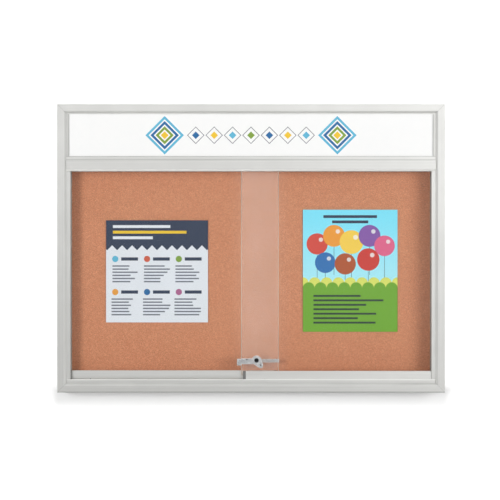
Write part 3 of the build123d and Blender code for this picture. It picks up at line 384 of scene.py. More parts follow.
# %% Fine grain
grain, taken, given = new_group("fine_grain", ["Grain", "Fleck"], Place=VECTOR, Size=FLOAT)
per_metre = calc(grain, "DIVIDE", 1.0, taken["Size"])
soft = noise(grain, taken["Place"], per_metre, 3.0)[0]
cells = put(grain, "ShaderNodeTexVoronoi", {"Vector": taken["Place"], "Scale": per_metre})
tone = put(grain, "ShaderNodeSeparateColor", {0: cells.outputs["Color"]})
grain.links.new(ease(grain, soft, 0.3, 0.7), given["Grain"])
grain.links.new(tone.outputs[0], given["Fleck"])

# %% [markdown]
# ## Starting a finish
# Every finish starts from the Principled shader. Numbers that are the same all over go straight on its
# sockets. Whatever changes over the surface is read from Object coordinates, which here are metres in the
# board's own frame, because every part's object sits at the origin. A colour is built up in coats: each one
# is laid over those below through a mask.

# %% Mix colours
def ink(red, green, blue):
    """A colour as a paint program names it, 0 to 255, in the linear values that shaders use."""
    def linear(level):
        share = level / 255
        return share / 12.92 if share <= 0.04045 else ((share + 0.055) / 1.055) ** 2.4
    return linear(red), linear(green), linear(blue), 1.0


def paint(tree, mask, under, colour, share=1.0):
    """One colour laid over another where the mask is 1, in full or by a share."""
    if share < 1:
        mask = calc(tree, "MULTIPLY", mask, share)
    return put(tree, "ShaderNodeMix", {0: mask, 6: under, 7: colour}, data_type="RGBA").outputs[2]


print("warm white is", [round(level, 3) for level in ink(240, 238, 230)])

# %% Start a finish and give it to parts
def finish(name, **sockets):
    """A new material with plain numbers on its shader: itself, its tree and the place."""
    made = bpy.data.materials.new(name)
    made.use_nodes = True
    tree = made.node_tree
    inputs = tree.nodes["Principled BSDF"].inputs
    for socket, value in sockets.items():
        inputs[socket.replace("_", " ")].default_value = value
    return made, tree, put(tree, "ShaderNodeTexCoord").outputs["Object"]


def surface(tree, colour, dull, roughness, height, depth, radius=0.0):
    """Links a colour, a mask stretched between two roughnesses and bumps of a depth in metres.
    A radius also rounds the edges to the eye."""
    bump = put(tree, "ShaderNodeBump", {"Height": height, "Distance": depth})
    if radius:
        rounded = put(tree, "ShaderNodeBevel", {"Radius": radius}, samples=BEVEL_SAMPLES)
        tree.links.new(rounded.outputs[0], bump.inputs["Normal"])
    inputs = tree.nodes["Principled BSDF"].inputs
    tree.links.new(colour, inputs["Base Color"])
    tree.links.new(spread(tree, dull, *roughness), inputs["Roughness"])
    tree.links.new(bump.outputs[0], inputs["Normal"])


def dress(material, *names):
    """Gives measured parts their finish."""
    for name in names:
        parts[name].material_slots[0].material = material


slot_parts = {}
for row in frame["record"]["subparts"]:
    slot_parts.setdefault(row["material_slot"], []).append(row["node"])
print({slot: len(names) for slot, names in slot_parts.items()})

# %% [markdown]
# ## Satin aluminium
# The frame, divider, tracks and shoes are aluminium extrusions with a satin anodised face. Light scatters
# along the fine lines that the die leaves, so the lines have to run along each bar: one finish has them
# along the width of the board and one along its height. A hairline shows at the mitres, strips of painted
# shade run along creases and some edges, and strips of painted highlight run along some lips and edges. All
# of it lies along the bars, so two masks are enough: a diagonal for the mitres and a strip between two
# limits.

# %% Masks for hairlines and strips
MITRE_EDGE = (0.0011, 0.0003)  # half widths, where it starts and where it is full
STRIP_EDGE = 0.001  # half the softness of a strip


def mitre_line(tree, position):
    """A mask of the hairline where two frame members meet, at 45 degrees into each corner."""
    axes = split(tree, position)
    from_side = calc(tree, "SUBTRACT", case_high.x, calc(tree, "ABSOLUTE", axes["X"]))
    from_end = calc(tree, "SUBTRACT", case_high.z, calc(tree, "ABSOLUTE", axes["Z"]))
    apart = calc(tree, "ABSOLUTE", calc(tree, "SUBTRACT", from_side, from_end))
    return ease(tree, apart, *MITRE_EDGE)


def strip(tree, position, axis, low, high):
    """A mask between two limits along X or Z. X is measured from the middle, so both sides get it."""
    value = split(tree, position)[axis]
    if axis == "X":
        value = calc(tree, "ABSOLUTE", value)
    starts = ease(tree, value, low - STRIP_EDGE, low + STRIP_EDGE)
    ends = ease(tree, value, high + STRIP_EDGE, high - STRIP_EDGE)
    return overlap(tree, starts, ends)


print("hairlines are", round(2 * MITRE_EDGE[0] * MM, 1), "mm wide")

# %% Make satin aluminium
ARRIS = 0.0004  # radius to which the edges are rounded to the eye
RUBBED = 0.0008  # width of the bright rub along an edge
ALONG = {0: (1.6, 900.0, 900.0), 2: (900.0, 900.0, 1.6)}  # stretch of the streaks, by the long axis
STREAK_GREYS = (228, 238)  # levels from 0 to 255
CLOUD_GREY = 220
RUBBED_GREY = 251
# The next two greys are painted light: a painted highlight along some lips and edges, and painted shade
# along creases and edges.
HIGHLIGHT_GREY = 255
SHADE_GREY = 110
SATIN = (0.28, 0.38)  # roughness


def grey(level):
    """A grey with a touch of warmth."""
    return ink(level, level, level - 3)


def satin_aluminium(name, axis, radius=ARRIS, paler=0, mitred=False, painted_highlight=None, painted_shade=()):
    """Anodised aluminium with its streaks along one axis, and its strips of painted highlight and painted
    shade.
    """
    made, tree, position = finish(name, Metallic=0.9, IOR=1.5)
    drawn = use(tree, streaks, Place=position, Stretch=ALONG[axis])
    rubbed = use(tree, worn, Place=position, Radius=RUBBED)["Edge"]
    colour = paint(tree, drawn["Line"], *(grey(level + paler) for level in STREAK_GREYS))
    colour = paint(tree, drawn["Cloud"], colour, grey(CLOUD_GREY + paler), 0.35)
    colour = paint(tree, rubbed, colour, grey(RUBBED_GREY), 0.6)
    if mitred:
        colour = paint(tree, mitre_line(tree, position), colour, ink(96, 96, 94), 0.28)
    # A strip of painted highlight, then strips of painted shade
    if painted_highlight:
        colour = paint(tree, strip(tree, position, *painted_highlight), colour, grey(HIGHLIGHT_GREY))
    for limits in painted_shade:
        colour = paint(tree, strip(tree, position, *limits), colour, grey(SHADE_GREY), 0.75)
    dull = calc(tree, "ADD", drawn["Line"], calc(tree, "MULTIPLY", drawn["Cloud"], 0.5))
    surface(tree, colour, calc(tree, "MULTIPLY", dull, 0.66), SATIN, drawn["Line"], 0.00002, radius)
    return made


aluminium = {axis: satin_aluminium(f"satin_aluminium_{'xyz'[axis]}", axis) for axis in ALONG}
print("plain satin finishes:", [made.name for made in aluminium.values()])

# %% Dress the extrusions
FRAME_ARRIS = 0.0016
TRACK_ARRIS = 0.003
PAST = 0.002  # how far a strip along an edge reaches past it
# Widths of strips of painted shade and painted highlight along edges, lips and a crease
FOOT_SHADE_WIDTH = 0.002  # widths of the strips
EDGE_SHADE_WIDTH = 0.0009
LIP_HIGHLIGHT_WIDTH = 0.0035
RAIL_HIGHLIGHT_WIDTH = 0.006
DIVIDER_LIP = 0.0126  # height of the divider's lip above its face
CREASE_SHADE = (0.0005, 0.0016)  # above the foot of that lip


def long_axis(name):
    """The axis along which a part is longest."""
    low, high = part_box(name)
    sides = list(high - low)
    return sides.index(max(sides))


# painted shade along the lowest edge of the frame
foot = ("Z", case_low.z - PAST, case_low.z + FOOT_SHADE_WIDTH)
frame_aluminium = {
    axis: satin_aluminium(f"frame_aluminium_{'xyz'[axis]}", axis, FRAME_ARRIS, mitred=True, painted_shade=[foot])
    for axis in ALONG
}
for name in slot_parts["satin_aluminium"]:
    choice = frame_aluminium if name.startswith("frame_") else aluminium
    dress(choice[long_axis(name)], name)

track_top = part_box("lower_track")[1].z
# a painted highlight along the top of the track's lip; the track's finish is also painted 3 levels paler
lip_highlight = ("Z", track_top - LIP_HIGHLIGHT_WIDTH, track_top + PAST)
dress(satin_aluminium("track_aluminium", 0, TRACK_ARRIS, 3, painted_highlight=lip_highlight), "lower_track")
# the shoes' finish is painted 10 levels paler than the frame's: painted light that brightens them
dress(satin_aluminium("shoe_aluminium", 0, paler=10), "left_door_shoe", "right_door_shoe")

rail_low, rail_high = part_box("divider_rail")
# Painted shade along the crease above the lip's foot and along the lip's top edge, and a painted highlight
# along the divider's lowest edge
crease_shade = ("Z", *(rail_high.z - DIVIDER_LIP + limit for limit in CREASE_SHADE))
top_shade = ("Z", rail_high.z - EDGE_SHADE_WIDTH, rail_high.z + PAST)
under = ("Z", rail_low.z - PAST, rail_low.z + RAIL_HIGHLIGHT_WIDTH)
dress(satin_aluminium("divider_aluminium", 0, painted_highlight=under, painted_shade=[crease_shade, top_shade]), "divider_rail")

channel_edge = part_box("header_channel_right")[0].x
# painted shade along the inner edge of the header channels, whose finish is also painted 12 levels darker
inner_shade = ("X", channel_edge - PAST, channel_edge + EDGE_SHADE_WIDTH)
channel_aluminium = satin_aluminium("channel_aluminium", 2, paler=-12, painted_shade=[inner_shade])
dress(channel_aluminium, "header_channel_left", "header_channel_right")
print("satin aluminium on", slot_parts["satin_aluminium"])

# %% [markdown]
# ## Plain metal behind the board
# The rails that hang the board on the wall are mill-finish aluminium, straight from the die: greyer, with
# coarser streaks and a few stains. Brackets, keys, axles and screws are steel with a thin zinc coat, which
# has a bluish cast and clouds of straw yellow. A grain between two tones with paler rubbed edges will do
# for it, and later for the plastics too, so that becomes a function.

# %% Make mill aluminium
mill_aluminium, tree, position = finish("mill_aluminium_finish", Metallic=1.0)
line = use(tree, streaks, Place=position, Stretch=(3.0, 500.0, 500.0))["Line"]
stains = use(tree, grain, Place=position, Size=0.03)["Grain"]
colour = paint(tree, line, ink(176, 177, 178), ink(206, 207, 208))
colour = paint(tree, stains, colour, ink(150, 149, 146), 0.3)
surface(tree, colour, line, (0.3, 0.46), line, 0.00004)
dress(mill_aluminium, *slot_parts["mill_aluminium"])
print("mill aluminium on", slot_parts["mill_aluminium"])

# %% Make zinc-plated steel
def grainy(slot, dark, light, edge, size, roughness, depth, wear=(0.0004, 0.5), **sockets):
    """A grain between two tones on all parts of a slot. Wear is an edge's rubbed width and its share."""
    made, tree, position = finish(f"{slot}_finish", **sockets)
    texture = use(tree, grain, Place=position, Size=size)
    rubbed = use(tree, worn, Place=position, Radius=wear[0])["Edge"]
    colour = paint(tree, texture["Grain"], ink(*dark), ink(*light))
    colour = paint(tree, rubbed, colour, ink(*edge), wear[1])
    surface(tree, colour, texture["Fleck"], roughness, texture["Grain"], depth)
    dress(made, *slot_parts[slot])
    print(slot, "on", len(slot_parts[slot]), "parts")


ZINC_TONES = (168, 174, 184), (204, 203, 192), (226, 228, 230)
grainy("zinc_steel", *ZINC_TONES, 0.006, (0.26, 0.42), 0.00003, Metallic=1.0)

# %% [markdown]
# ## Cork and the board behind it
# The cork is a sheet of pressed granules, 1 to 3 mm across, each a slightly different brown, with dark
# seams and specks of bark between them. Plain cells look like tiles, so the place is shaken by a fine noise
# before it reaches them, which makes the granules crooked. Two slow clouds keep the sheet from looking
# printed. The board behind is brown fibreboard, which shows only at the back.

# %% Make cork
GRANULE = 0.0021
CHIP = GRANULE / 2.4
SHAKE = (0.0026, 0.0026, 0.0026)

cork, tree, position = finish("cork_finish", Specular_IOR_Level=0.2)
about_zero = vector(tree, "SUBTRACT", noise(tree, position, 420.0, 2.0)["Color"], (0.5, 0.5, 0.5))[0]
crooked = vector(tree, "MULTIPLY_ADD", about_zero, SHAKE, position)[0]
granules = use(tree, grain, Place=crooked, Size=GRANULE)
chips = use(tree, grain, Place=crooked, Size=CHIP)["Fleck"]
cells = {"Vector": crooked, "Scale": 1 / GRANULE}
to_seam = put(tree, "ShaderNodeTexVoronoi", cells, feature="DISTANCE_TO_EDGE").outputs["Distance"]
seam = ease(tree, to_seam, 0.12, 0.02)
bark = overlap(tree, ease(tree, chips, 0.91, 0.95), ease(tree, granules["Grain"], 0.35, 0.6))
patchy = ease(tree, noise(tree, position, 70.0, 3.0)[0], 0.4, 0.7)
slow = noise(tree, position, 7.0, 2.0)[0]
colour = paint(tree, granules["Fleck"], ink(206, 128, 92), ink(246, 172, 132))
colour = paint(tree, chips, colour, ink(223, 146, 107), 0.4)
colour = paint(tree, seam, colour, ink(162, 98, 66), 0.45)
colour = paint(tree, bark, colour, ink(112, 66, 42), 0.8)
colour = paint(tree, patchy, colour, ink(212, 134, 97), 0.3)
colour = paint(tree, slow, colour, ink(246, 184, 146), 0.16)
relief = calc(tree, "SUBTRACT", calc(tree, "MULTIPLY", granules["Fleck"], 0.6), seam)
surface(tree, colour, chips, (0.78, 0.95), relief, 0.0003)
dress(cork, *slot_parts["cork"])
print("cork of granules", round(GRANULE * MM, 1), "mm across")

# %% Make fibreboard
fibreboard, tree, position = finish("fibreboard_finish", Specular_IOR_Level=0.3)
fibres = use(tree, grain, Place=position, Size=0.003)
dust = use(tree, grain, Place=position, Size=0.05)["Grain"]
colour = paint(tree, fibres["Grain"], ink(138, 104, 74), ink(166, 130, 94))
colour = paint(tree, dust, colour, ink(180, 150, 118), 0.25)
surface(tree, colour, fibres["Fleck"], (0.7, 0.88), fibres["Grain"], 0.0001)
dress(fibreboard, *slot_parts["fibreboard"])
print("fibreboard on", slot_parts["fibreboard"])

# %% [markdown]
# ## Shapes for the printing
# The header and the two sheets are printed. Their designs are built from simple masks in millimetres
# from the middle of each print: bars, discs, diamonds, and blocks of ruled lines of uneven length. As node
# groups they can be placed as often as a design needs.

# %% Make bars, discs and diamonds
INK_EDGE = 0.25  # millimetres, softness of a printed edge
CENTRED = {"Place": VECTOR, "Centre": VECTOR}


def flat_axes(group, taken):
    """How far a point is from a centre, to the right and up."""
    axes = split(group, vector(group, "SUBTRACT", taken["Place"], taken["Centre"])[0])
    return axes["X"], axes["Z"]


bar, taken, given = new_group("print_bar", ["Mask"], **CENTRED, Half=VECTOR)
right, up = flat_axes(bar, taken)
half = split(bar, taken["Half"])
past_x = calc(bar, "SUBTRACT", calc(bar, "ABSOLUTE", right), half["X"])
past_z = calc(bar, "SUBTRACT", calc(bar, "ABSOLUTE", up), half["Z"])
bar.links.new(ease(bar, calc(bar, "MAXIMUM", past_x, past_z), INK_EDGE, -INK_EDGE), given["Mask"])

disc, taken, given = new_group("print_disc", ["Mask"], **CENTRED, Radius=FLOAT)
right, up = flat_axes(disc, taken)
squares = calc(disc, "ADD", calc(disc, "MULTIPLY", right, right), calc(disc, "MULTIPLY", up, up))
past = calc(disc, "SUBTRACT", calc(disc, "SQRT", squares), taken["Radius"])
disc.links.new(ease(disc, past, INK_EDGE, -INK_EDGE), given["Mask"])

diamond, taken, given = new_group("print_diamond", ["Reach"], **CENTRED)
right, up = flat_axes(diamond, taken)
reach = calc(diamond, "ADD", calc(diamond, "ABSOLUTE", right), calc(diamond, "ABSOLUTE", up))
diamond.links.new(reach, given["Reach"])

# %% Make ruled lines
LINE_TOP = (0.2, 0.28)  # where the ink starts in a row, and where it is full
LINE_FOOT = (0.72, 0.64)  # where it ends, and where it is still full
LINE_LENGTHS = (1.2, 2.0)  # shortest and longest, in half widths of the block
BLOCK_SEED = 7.3  # makes the blocks differ

ruled, taken, given = new_group("print_ruled_lines", ["Mask"], **CENTRED, Half=VECTOR, Pitch=FLOAT)
right, up = flat_axes(ruled, taken)
half = split(ruled, taken["Half"])
row_number = calc(ruled, "DIVIDE", calc(ruled, "SUBTRACT", half["Z"], up), taken["Pitch"])
in_row = calc(ruled, "FRACT", row_number)
ink_row = overlap(ruled, ease(ruled, in_row, *LINE_TOP), ease(ruled, in_row, *LINE_FOOT))
which = calc(ruled, "MULTIPLY_ADD", half["X"], BLOCK_SEED, calc(ruled, "FLOOR", row_number))
chance = put(ruled, "ShaderNodeTexWhiteNoise", {"W": which}, noise_dimensions="1D").outputs["Value"]
length = calc(ruled, "MULTIPLY", half["X"], spread(ruled, chance, *LINE_LENGTHS))
from_left = calc(ruled, "ADD", right, half["X"])
starts = ease(ruled, from_left, -INK_EDGE, INK_EDGE)
inside = ease(ruled, calc(ruled, "SUBTRACT", from_left, length), INK_EDGE, -INK_EDGE)
past_z = calc(ruled, "SUBTRACT", calc(ruled, "ABSOLUTE", up), half["Z"])
between = ease(ruled, past_z, INK_EDGE, -INK_EDGE)
ruled.links.new(overlap(ruled, starts, inside, between, ink_row), given["Mask"])

# %% [markdown]
# ## Header
# The header is a strip of white acrylic behind the divider's lip. It carries a plain border print: a row of
# thin diamonds in slate with small coloured ones inside, between two large nested diamonds. A row repeats,
# so the place along it is wrapped into one cell and the cell's number picks the colour.

# %% Helpers for prints
def print_place(tree, position, name):
    """Millimetres from the middle of a printed part."""
    low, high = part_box(name)
    moved = {"Vector": position, "Location": (low + high) * -MM / 2, "Scale": (MM, MM, MM)}
    return put(tree, "ShaderNodeMapping", moved).outputs[0]


def steps(tree, value, stops):
    """Bands of flat colour: each stop is where a colour starts, and the colour."""
    node = put(tree, "ShaderNodeValToRGB", {"Fac": value})
    node.color_ramp.interpolation = "CONSTANT"
    ends = node.color_ramp.elements
    ends[0].color = stops[0][1]
    ends[1].position, ends[1].color = stops[-1]
    for start, colour in stops[1:-1]:
        ends.new(start).color = colour
    return node.outputs["Color"]


low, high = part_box("header_panel")
shown_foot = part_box("divider_rail")[1].z
shown_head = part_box("header_channel_top")[0].z
middle = ((shown_foot + shown_head) - (low.z + high.z)) * MM / 2
print("what shows of the header is centred", round(middle, 1), "mm from its middle")

# %% Print the header
CELLS = 7
CELL = 58.0  # millimetres, as all sizes of the prints
OUTLINE = 26.0  # reach of a thin diamond
OUTLINE_EDGE = (1.5, 1.0)
HEART_EDGE = (12.3, 11.7)
NEST = 62.0  # reach of a large diamond
NEST_X = 272.0
YELLOW = ink(238, 196, 48)
GREEN = ink(128, 160, 62)
BLUE = ink(34, 104, 160)
SKY = ink(96, 182, 214)
SLATE = ink(62, 68, 84)
WHITE = ink(247, 247, 246)
HEARTS = [(0.0, BLUE), (0.25, YELLOW), (0.5, SKY), (0.75, GREEN)]
NEST_BANDS = [
    (0.0, YELLOW), (0.2, WHITE), (0.29, GREEN), (0.46, WHITE),
    (0.55, BLUE), (0.72, WHITE), (0.81, SKY), (0.98, WHITE),
]

header_acrylic, tree, position = finish("header_acrylic_finish", Coat_Weight=0.3, Coat_Roughness=0.08)
print_at = print_place(tree, position, "header_panel")
at = split(tree, print_at)
along = calc(tree, "ADD", calc(tree, "DIVIDE", at["X"], CELL), CELLS / 2)
in_cell = calc(tree, "MULTIPLY", calc(tree, "SUBTRACT", calc(tree, "FRACT", along), 0.5), CELL)
cell_place = put(tree, "ShaderNodeCombineXYZ", {"X": in_cell, "Z": at["Z"]}).outputs[0]
row_mask = use(tree, bar, Place=print_at, Centre=(0, 0, middle), Half=(CELLS * CELL / 2, 0, CELL))["Mask"]
cell_reach = use(tree, diamond, Place=cell_place, Centre=(0, 0, middle))["Reach"]
ring = ease(tree, calc(tree, "ABSOLUTE", calc(tree, "SUBTRACT", cell_reach, OUTLINE)), *OUTLINE_EDGE)
heart = ease(tree, cell_reach, *HEART_EDGE)
turn = calc(tree, "FRACT", calc(tree, "MULTIPLY_ADD", calc(tree, "FLOOR", along), 0.25, 0.125))
cloud = use(tree, grain, Place=position, Size=0.02)["Grain"]
colour = paint(tree, cloud, WHITE, ink(243, 244, 244), 0.25)
colour = paint(tree, overlap(tree, ring, row_mask), colour, SLATE)
colour = paint(tree, overlap(tree, heart, row_mask), colour, steps(tree, turn, HEARTS))
for side in (-1, 1):
    reach = use(tree, diamond, Place=print_at, Centre=(side * NEST_X, 0, middle))["Reach"]
    share = calc(tree, "DIVIDE", reach, NEST)
    colour = paint(tree, ease(tree, share, 1.0, 0.99), colour, steps(tree, share, NEST_BANDS))
surface(tree, colour, cloud, (0.18, 0.26), cloud, 0.00002)
dress(header_acrylic, "header_panel")
print("header printed", CELLS, "cells wide")

# %% [markdown]
# ## Left sheet
# The left sheet is a printed notice on pale paper with a navy band. The band ends in a zigzag, and below it
# six small blocks of ruled lines hang from coloured dots in two rows of three. A loop places the blocks.

# %% Start a paper
PAPER_ROUGHNESS = (0.42, 0.55)
PAPER_BUMP = 0.00003


def paper_finish(name, node):
    """Smooth printed paper: the material, its tree, the print's place and the paper's fibres."""
    made, tree, position = finish(name, Specular_IOR_Level=0.35)
    fibres = use(tree, grain, Place=position, Size=0.0012)["Grain"]
    return made, tree, print_place(tree, position, node), fibres


def half_sides(node):
    """Half the width and half the height of a printed part, in millimetres."""
    low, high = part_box(node)
    return (high.x - low.x) * MM / 2, (high.z - low.z) * MM / 2


def stamp(tree, under, tint, shape, share=1.0, **inputs):
    """Prints a shape in one colour over what lies under it."""
    return paint(tree, use(tree, shape, **inputs)["Mask"], under, tint, share)


for node in ("notice_left", "notice_right"):
    print(node, [round(2 * half, 1) for half in half_sides(node)], "mm")

# %% Print the left sheet
NAVY = ink(46, 58, 82)
PALE = ink(231, 234, 241)
LINE_GREY = ink(84, 90, 106)
BAND = 96.0  # from the top of the sheet to the points of the zigzag
ZIG = 16.0
MARGIN = 22
TITLES = [(92.0, PALE), (118.0, YELLOW), (64.0, PALE)]  # half lengths and colours
TITLE_HALF = 4.5
DOTS = [SKY, ink(206, 92, 66), GREEN, ink(232, 158, 60), BLUE, ink(170, 96, 140)]
BLOCK_TOP = 124.0  # from the top of the sheet to the first row of dots
BLOCK_ACROSS = 102.0  # from block to block
BLOCK_DOWN = 106.0

left_paper, tree, at, fibres = paper_finish("left_paper_finish", "notice_left")
half_x, half_z = half_sides("notice_left")
axes = split(tree, at)
band_foot = calc(tree, "ADD", calc(tree, "PINGPONG", axes["X"], ZIG), half_z - BAND)
band = ease(tree, calc(tree, "SUBTRACT", axes["Z"], band_foot), -INK_EDGE, INK_EDGE)
colour = paint(tree, fibres, PALE, ink(216, 220, 228), 0.3)
colour = paint(tree, band, colour, NAVY)
for row, (length, tint) in enumerate(TITLES):
    centre = (-half_x + MARGIN + length, 0, half_z - 20 - 18 * row)
    colour = stamp(tree, colour, tint, bar, Place=at, Centre=centre, Half=(length, 0, TITLE_HALF))
for index, tint in enumerate(DOTS):
    x = (index % 3 - 1) * BLOCK_ACROSS
    z = half_z - BLOCK_TOP - (index // 3) * BLOCK_DOWN
    block = {"Place": at, "Centre": (x, 0, z - 48), "Half": (41 + index, 0, 30), "Pitch": 10.0}
    colour = stamp(tree, colour, tint, disc, Place=at, Centre=(x - 32, 0, z), Radius=10.0)
    colour = stamp(tree, colour, NAVY, bar, Place=at, Centre=(x + 14, 0, z), Half=(27, 0, 5.2))
    colour = stamp(tree, colour, LINE_GREY, ruled, 0.9, **block)
surface(tree, colour, fibres, PAPER_ROUGHNESS, fibres, PAPER_BUMP)
print("left sheet printed with", len(DOTS), "blocks")

# %% [markdown]
# ## Right sheet
# The right sheet is brighter: balloons on a pale blue ground, over a green panel with two scalloped edges
# and dark ruled lines. A scallop is the top half of a circle that repeats, so the place along the edge is
# wrapped into one scallop. Each balloon is a disc with a shine and a string.

# %% Print the right sheet
SCALLOP = 38.0
EDGES = [(-40, 0.5, (220, 224, 104)), (-56, 0.0, (112, 168, 46))]  # height, shift by scallops, colour
BALLOONS = [
    (-106, 86, 34, (214, 74, 62)), (-52, 112, 35, (240, 156, 54)), (4, 92, 38, (248, 208, 80)),
    (62, 112, 35, (134, 88, 168)), (110, 80, 33, (226, 100, 140)), (-80, 26, 33, (44, 112, 178)),
    (-16, 22, 34, (176, 84, 44)), (58, 36, 36, (206, 60, 52)),
]  # right, up, radius, colour
STRING_HALF = 45

right_paper, tree, at, fibres = paper_finish("right_paper_finish", "notice_right")
half_x, half_z = half_sides("notice_right")
axes = split(tree, at)
height = ease(tree, axes["Z"], -60.0, half_z)
colour = paint(tree, height, ink(170, 236, 250), ink(122, 228, 252))
colour = paint(tree, fibres, colour, ink(196, 244, 252), 0.12)
for x, z, radius, _ in BALLOONS:
    centre = (x, 0, z - radius - STRING_HALF)
    colour = stamp(tree, colour, SLATE, bar, Place=at, Centre=centre, Half=(0.7, 0, STRING_HALF))
for x, z, radius, tint in BALLOONS:
    shine = (x + radius * 0.35, 0, z + radius * 0.4)
    colour = stamp(tree, colour, ink(*tint), disc, Place=at, Centre=(x, 0, z), Radius=radius)
    colour = stamp(tree, colour, WHITE, disc, 0.7, Place=at, Centre=shine, Radius=radius * 0.2)
for edge, shift, tint in EDGES:
    along = calc(tree, "FRACT", calc(tree, "MULTIPLY_ADD", axes["X"], 1 / SCALLOP, shift))
    aside = calc(tree, "MULTIPLY", calc(tree, "SUBTRACT", along, 0.5), SCALLOP)
    square = calc(tree, "MULTIPLY_ADD", aside, calc(tree, "MULTIPLY", aside, -1.0), (SCALLOP / 2) ** 2)
    crest = calc(tree, "ADD", calc(tree, "SQRT", calc(tree, "MAXIMUM", square, 0.0)), edge)
    below = ease(tree, calc(tree, "SUBTRACT", axes["Z"], crest), INK_EDGE, -INK_EDGE)
    colour = paint(tree, below, colour, ink(*tint))
for row, length in enumerate((86.0, 58.0)):
    centre = (0, 0, half_z - 22 - row * 17)
    colour = stamp(tree, colour, NAVY, bar, Place=at, Centre=centre, Half=(length, 0, TITLE_HALF))
block = {"Place": at, "Centre": (0, 0, -124), "Half": (118, 0, 50), "Pitch": 14.3}
colour = stamp(tree, colour, ink(40, 62, 50), ruled, **block)
surface(tree, colour, fibres, PAPER_ROUGHNESS, fibres, PAPER_BUMP)
print("right sheet printed with", len(BALLOONS), "balloons")

# %% [markdown]
# ## Paper that has hung for a while
# A sheet that lies dead flat looks painted on. Real paper lifts a little at its corners. Each sheet starts
# as a grid facing the viewer, its corners are pulled forward with a soft falloff, and Solidify gives it its
# thickness. It takes the place of the flat sheet among the measured parts.

# %% Model the two sheets
PAPER_THICKNESS = 0.00025
PAPER_STEPS = 40
CORNER = 0.006  # how near its corner a vertex is pulled
LIFT_REACH = 0.085  # how far the pull is felt


def curled_sheet(name, node, material, lifts):
    """A sheet of paper over a measured one, with its corners lifted off the cork by the given amounts."""
    low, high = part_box(node)
    middle = (low + high) / 2
    depth = high.y - PAPER_THICKNESS / 4
    bpy.ops.object.select_all(action="DESELECT")
    bpy.ops.mesh.primitive_grid_add(
        x_subdivisions=PAPER_STEPS, y_subdivisions=PAPER_STEPS, size=1,
        location=(middle.x, depth, middle.z), rotation=(pi / 2, 0, 0),
    )
    sheet = bpy.context.object
    sheet.name = name
    sheet.scale = (high.x - low.x, high.z - low.z, 1)
    bpy.ops.object.transform_apply(location=True, rotation=True, scale=True)
    corners = [(x, z) for z in (low.z, high.z) for x in (low.x, high.x)]
    for (x, z), lift in zip(corners, lifts):
        corner = Vector((x, depth, z))
        for vertex in sheet.data.vertices:
            vertex.select = (vertex.co - corner).length < CORNER
        bpy.ops.object.mode_set(mode="EDIT")
        bpy.ops.transform.translate(
            value=(0, -lift, 0), use_proportional_edit=True,
            proportional_edit_falloff="SMOOTH", proportional_size=LIFT_REACH,
        )
        bpy.ops.object.mode_set(mode="OBJECT")
    thick = sheet.modifiers.new("thickness", "SOLIDIFY")
    thick.thickness = PAPER_THICKNESS
    thick.offset = 1
    bpy.ops.object.modifier_apply(modifier=thick.name)
    bpy.ops.object.shade_smooth_by_angle(angle=0.6)
    sheet.data.materials.append(material)
    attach(sheet, "case")
    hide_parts(node)
    front = min(vertex.co.y for vertex in sheet.data.vertices)
    print(name, "lifts by", round((low.y - front) * MM, 2), "mm")
    return sheet


left_sheet = curled_sheet("left_sheet", "notice_left", left_paper, (0.0016, 0.0008, 0.0, 0.0012))
right_sheet = curled_sheet("right_sheet", "notice_right", right_paper, (0.0006, 0.002, 0.001, 0.0))

# %% [markdown]
# ## Glass
# Each pane is 5 mm float glass. From the front it is clear with a soft reflection of the white room. Lamps
# should reach the cork as if through a window, so shadow rays pass straight through. Faint smears make the
# reflection uneven, and hands leave a film beside the free edge, which a rough coat stands for: it is why
# the panes look milky where they overlap. Light that runs inside a pane leaves it at its frosted ends and,
# a little, at the film, which a faint glow stands for.

# %% Make the glass
FILM = {"Coat_IOR": 1.9, "Coat_Roughness": 0.42}
FILM_WEIGHT = (0.75, 0.95)
PANE_LIGHT = 0.2  # light that leaves a pane at its ends and film
END_TINT = ink(250, 222, 206)
FILM_TINT = ink(114, 68, 41)
PENCIL_RADIUS = 0.0022  # of the ground upright edges
END_SOFT = 0.0003
FROST = 0.5  # roughness of the ground edges
HAND_REACH = 0.17  # width of the film, from the free edge
BORDER = 0.009  # width of the ground border at the free edge
BORDER_SOFT = 0.0005


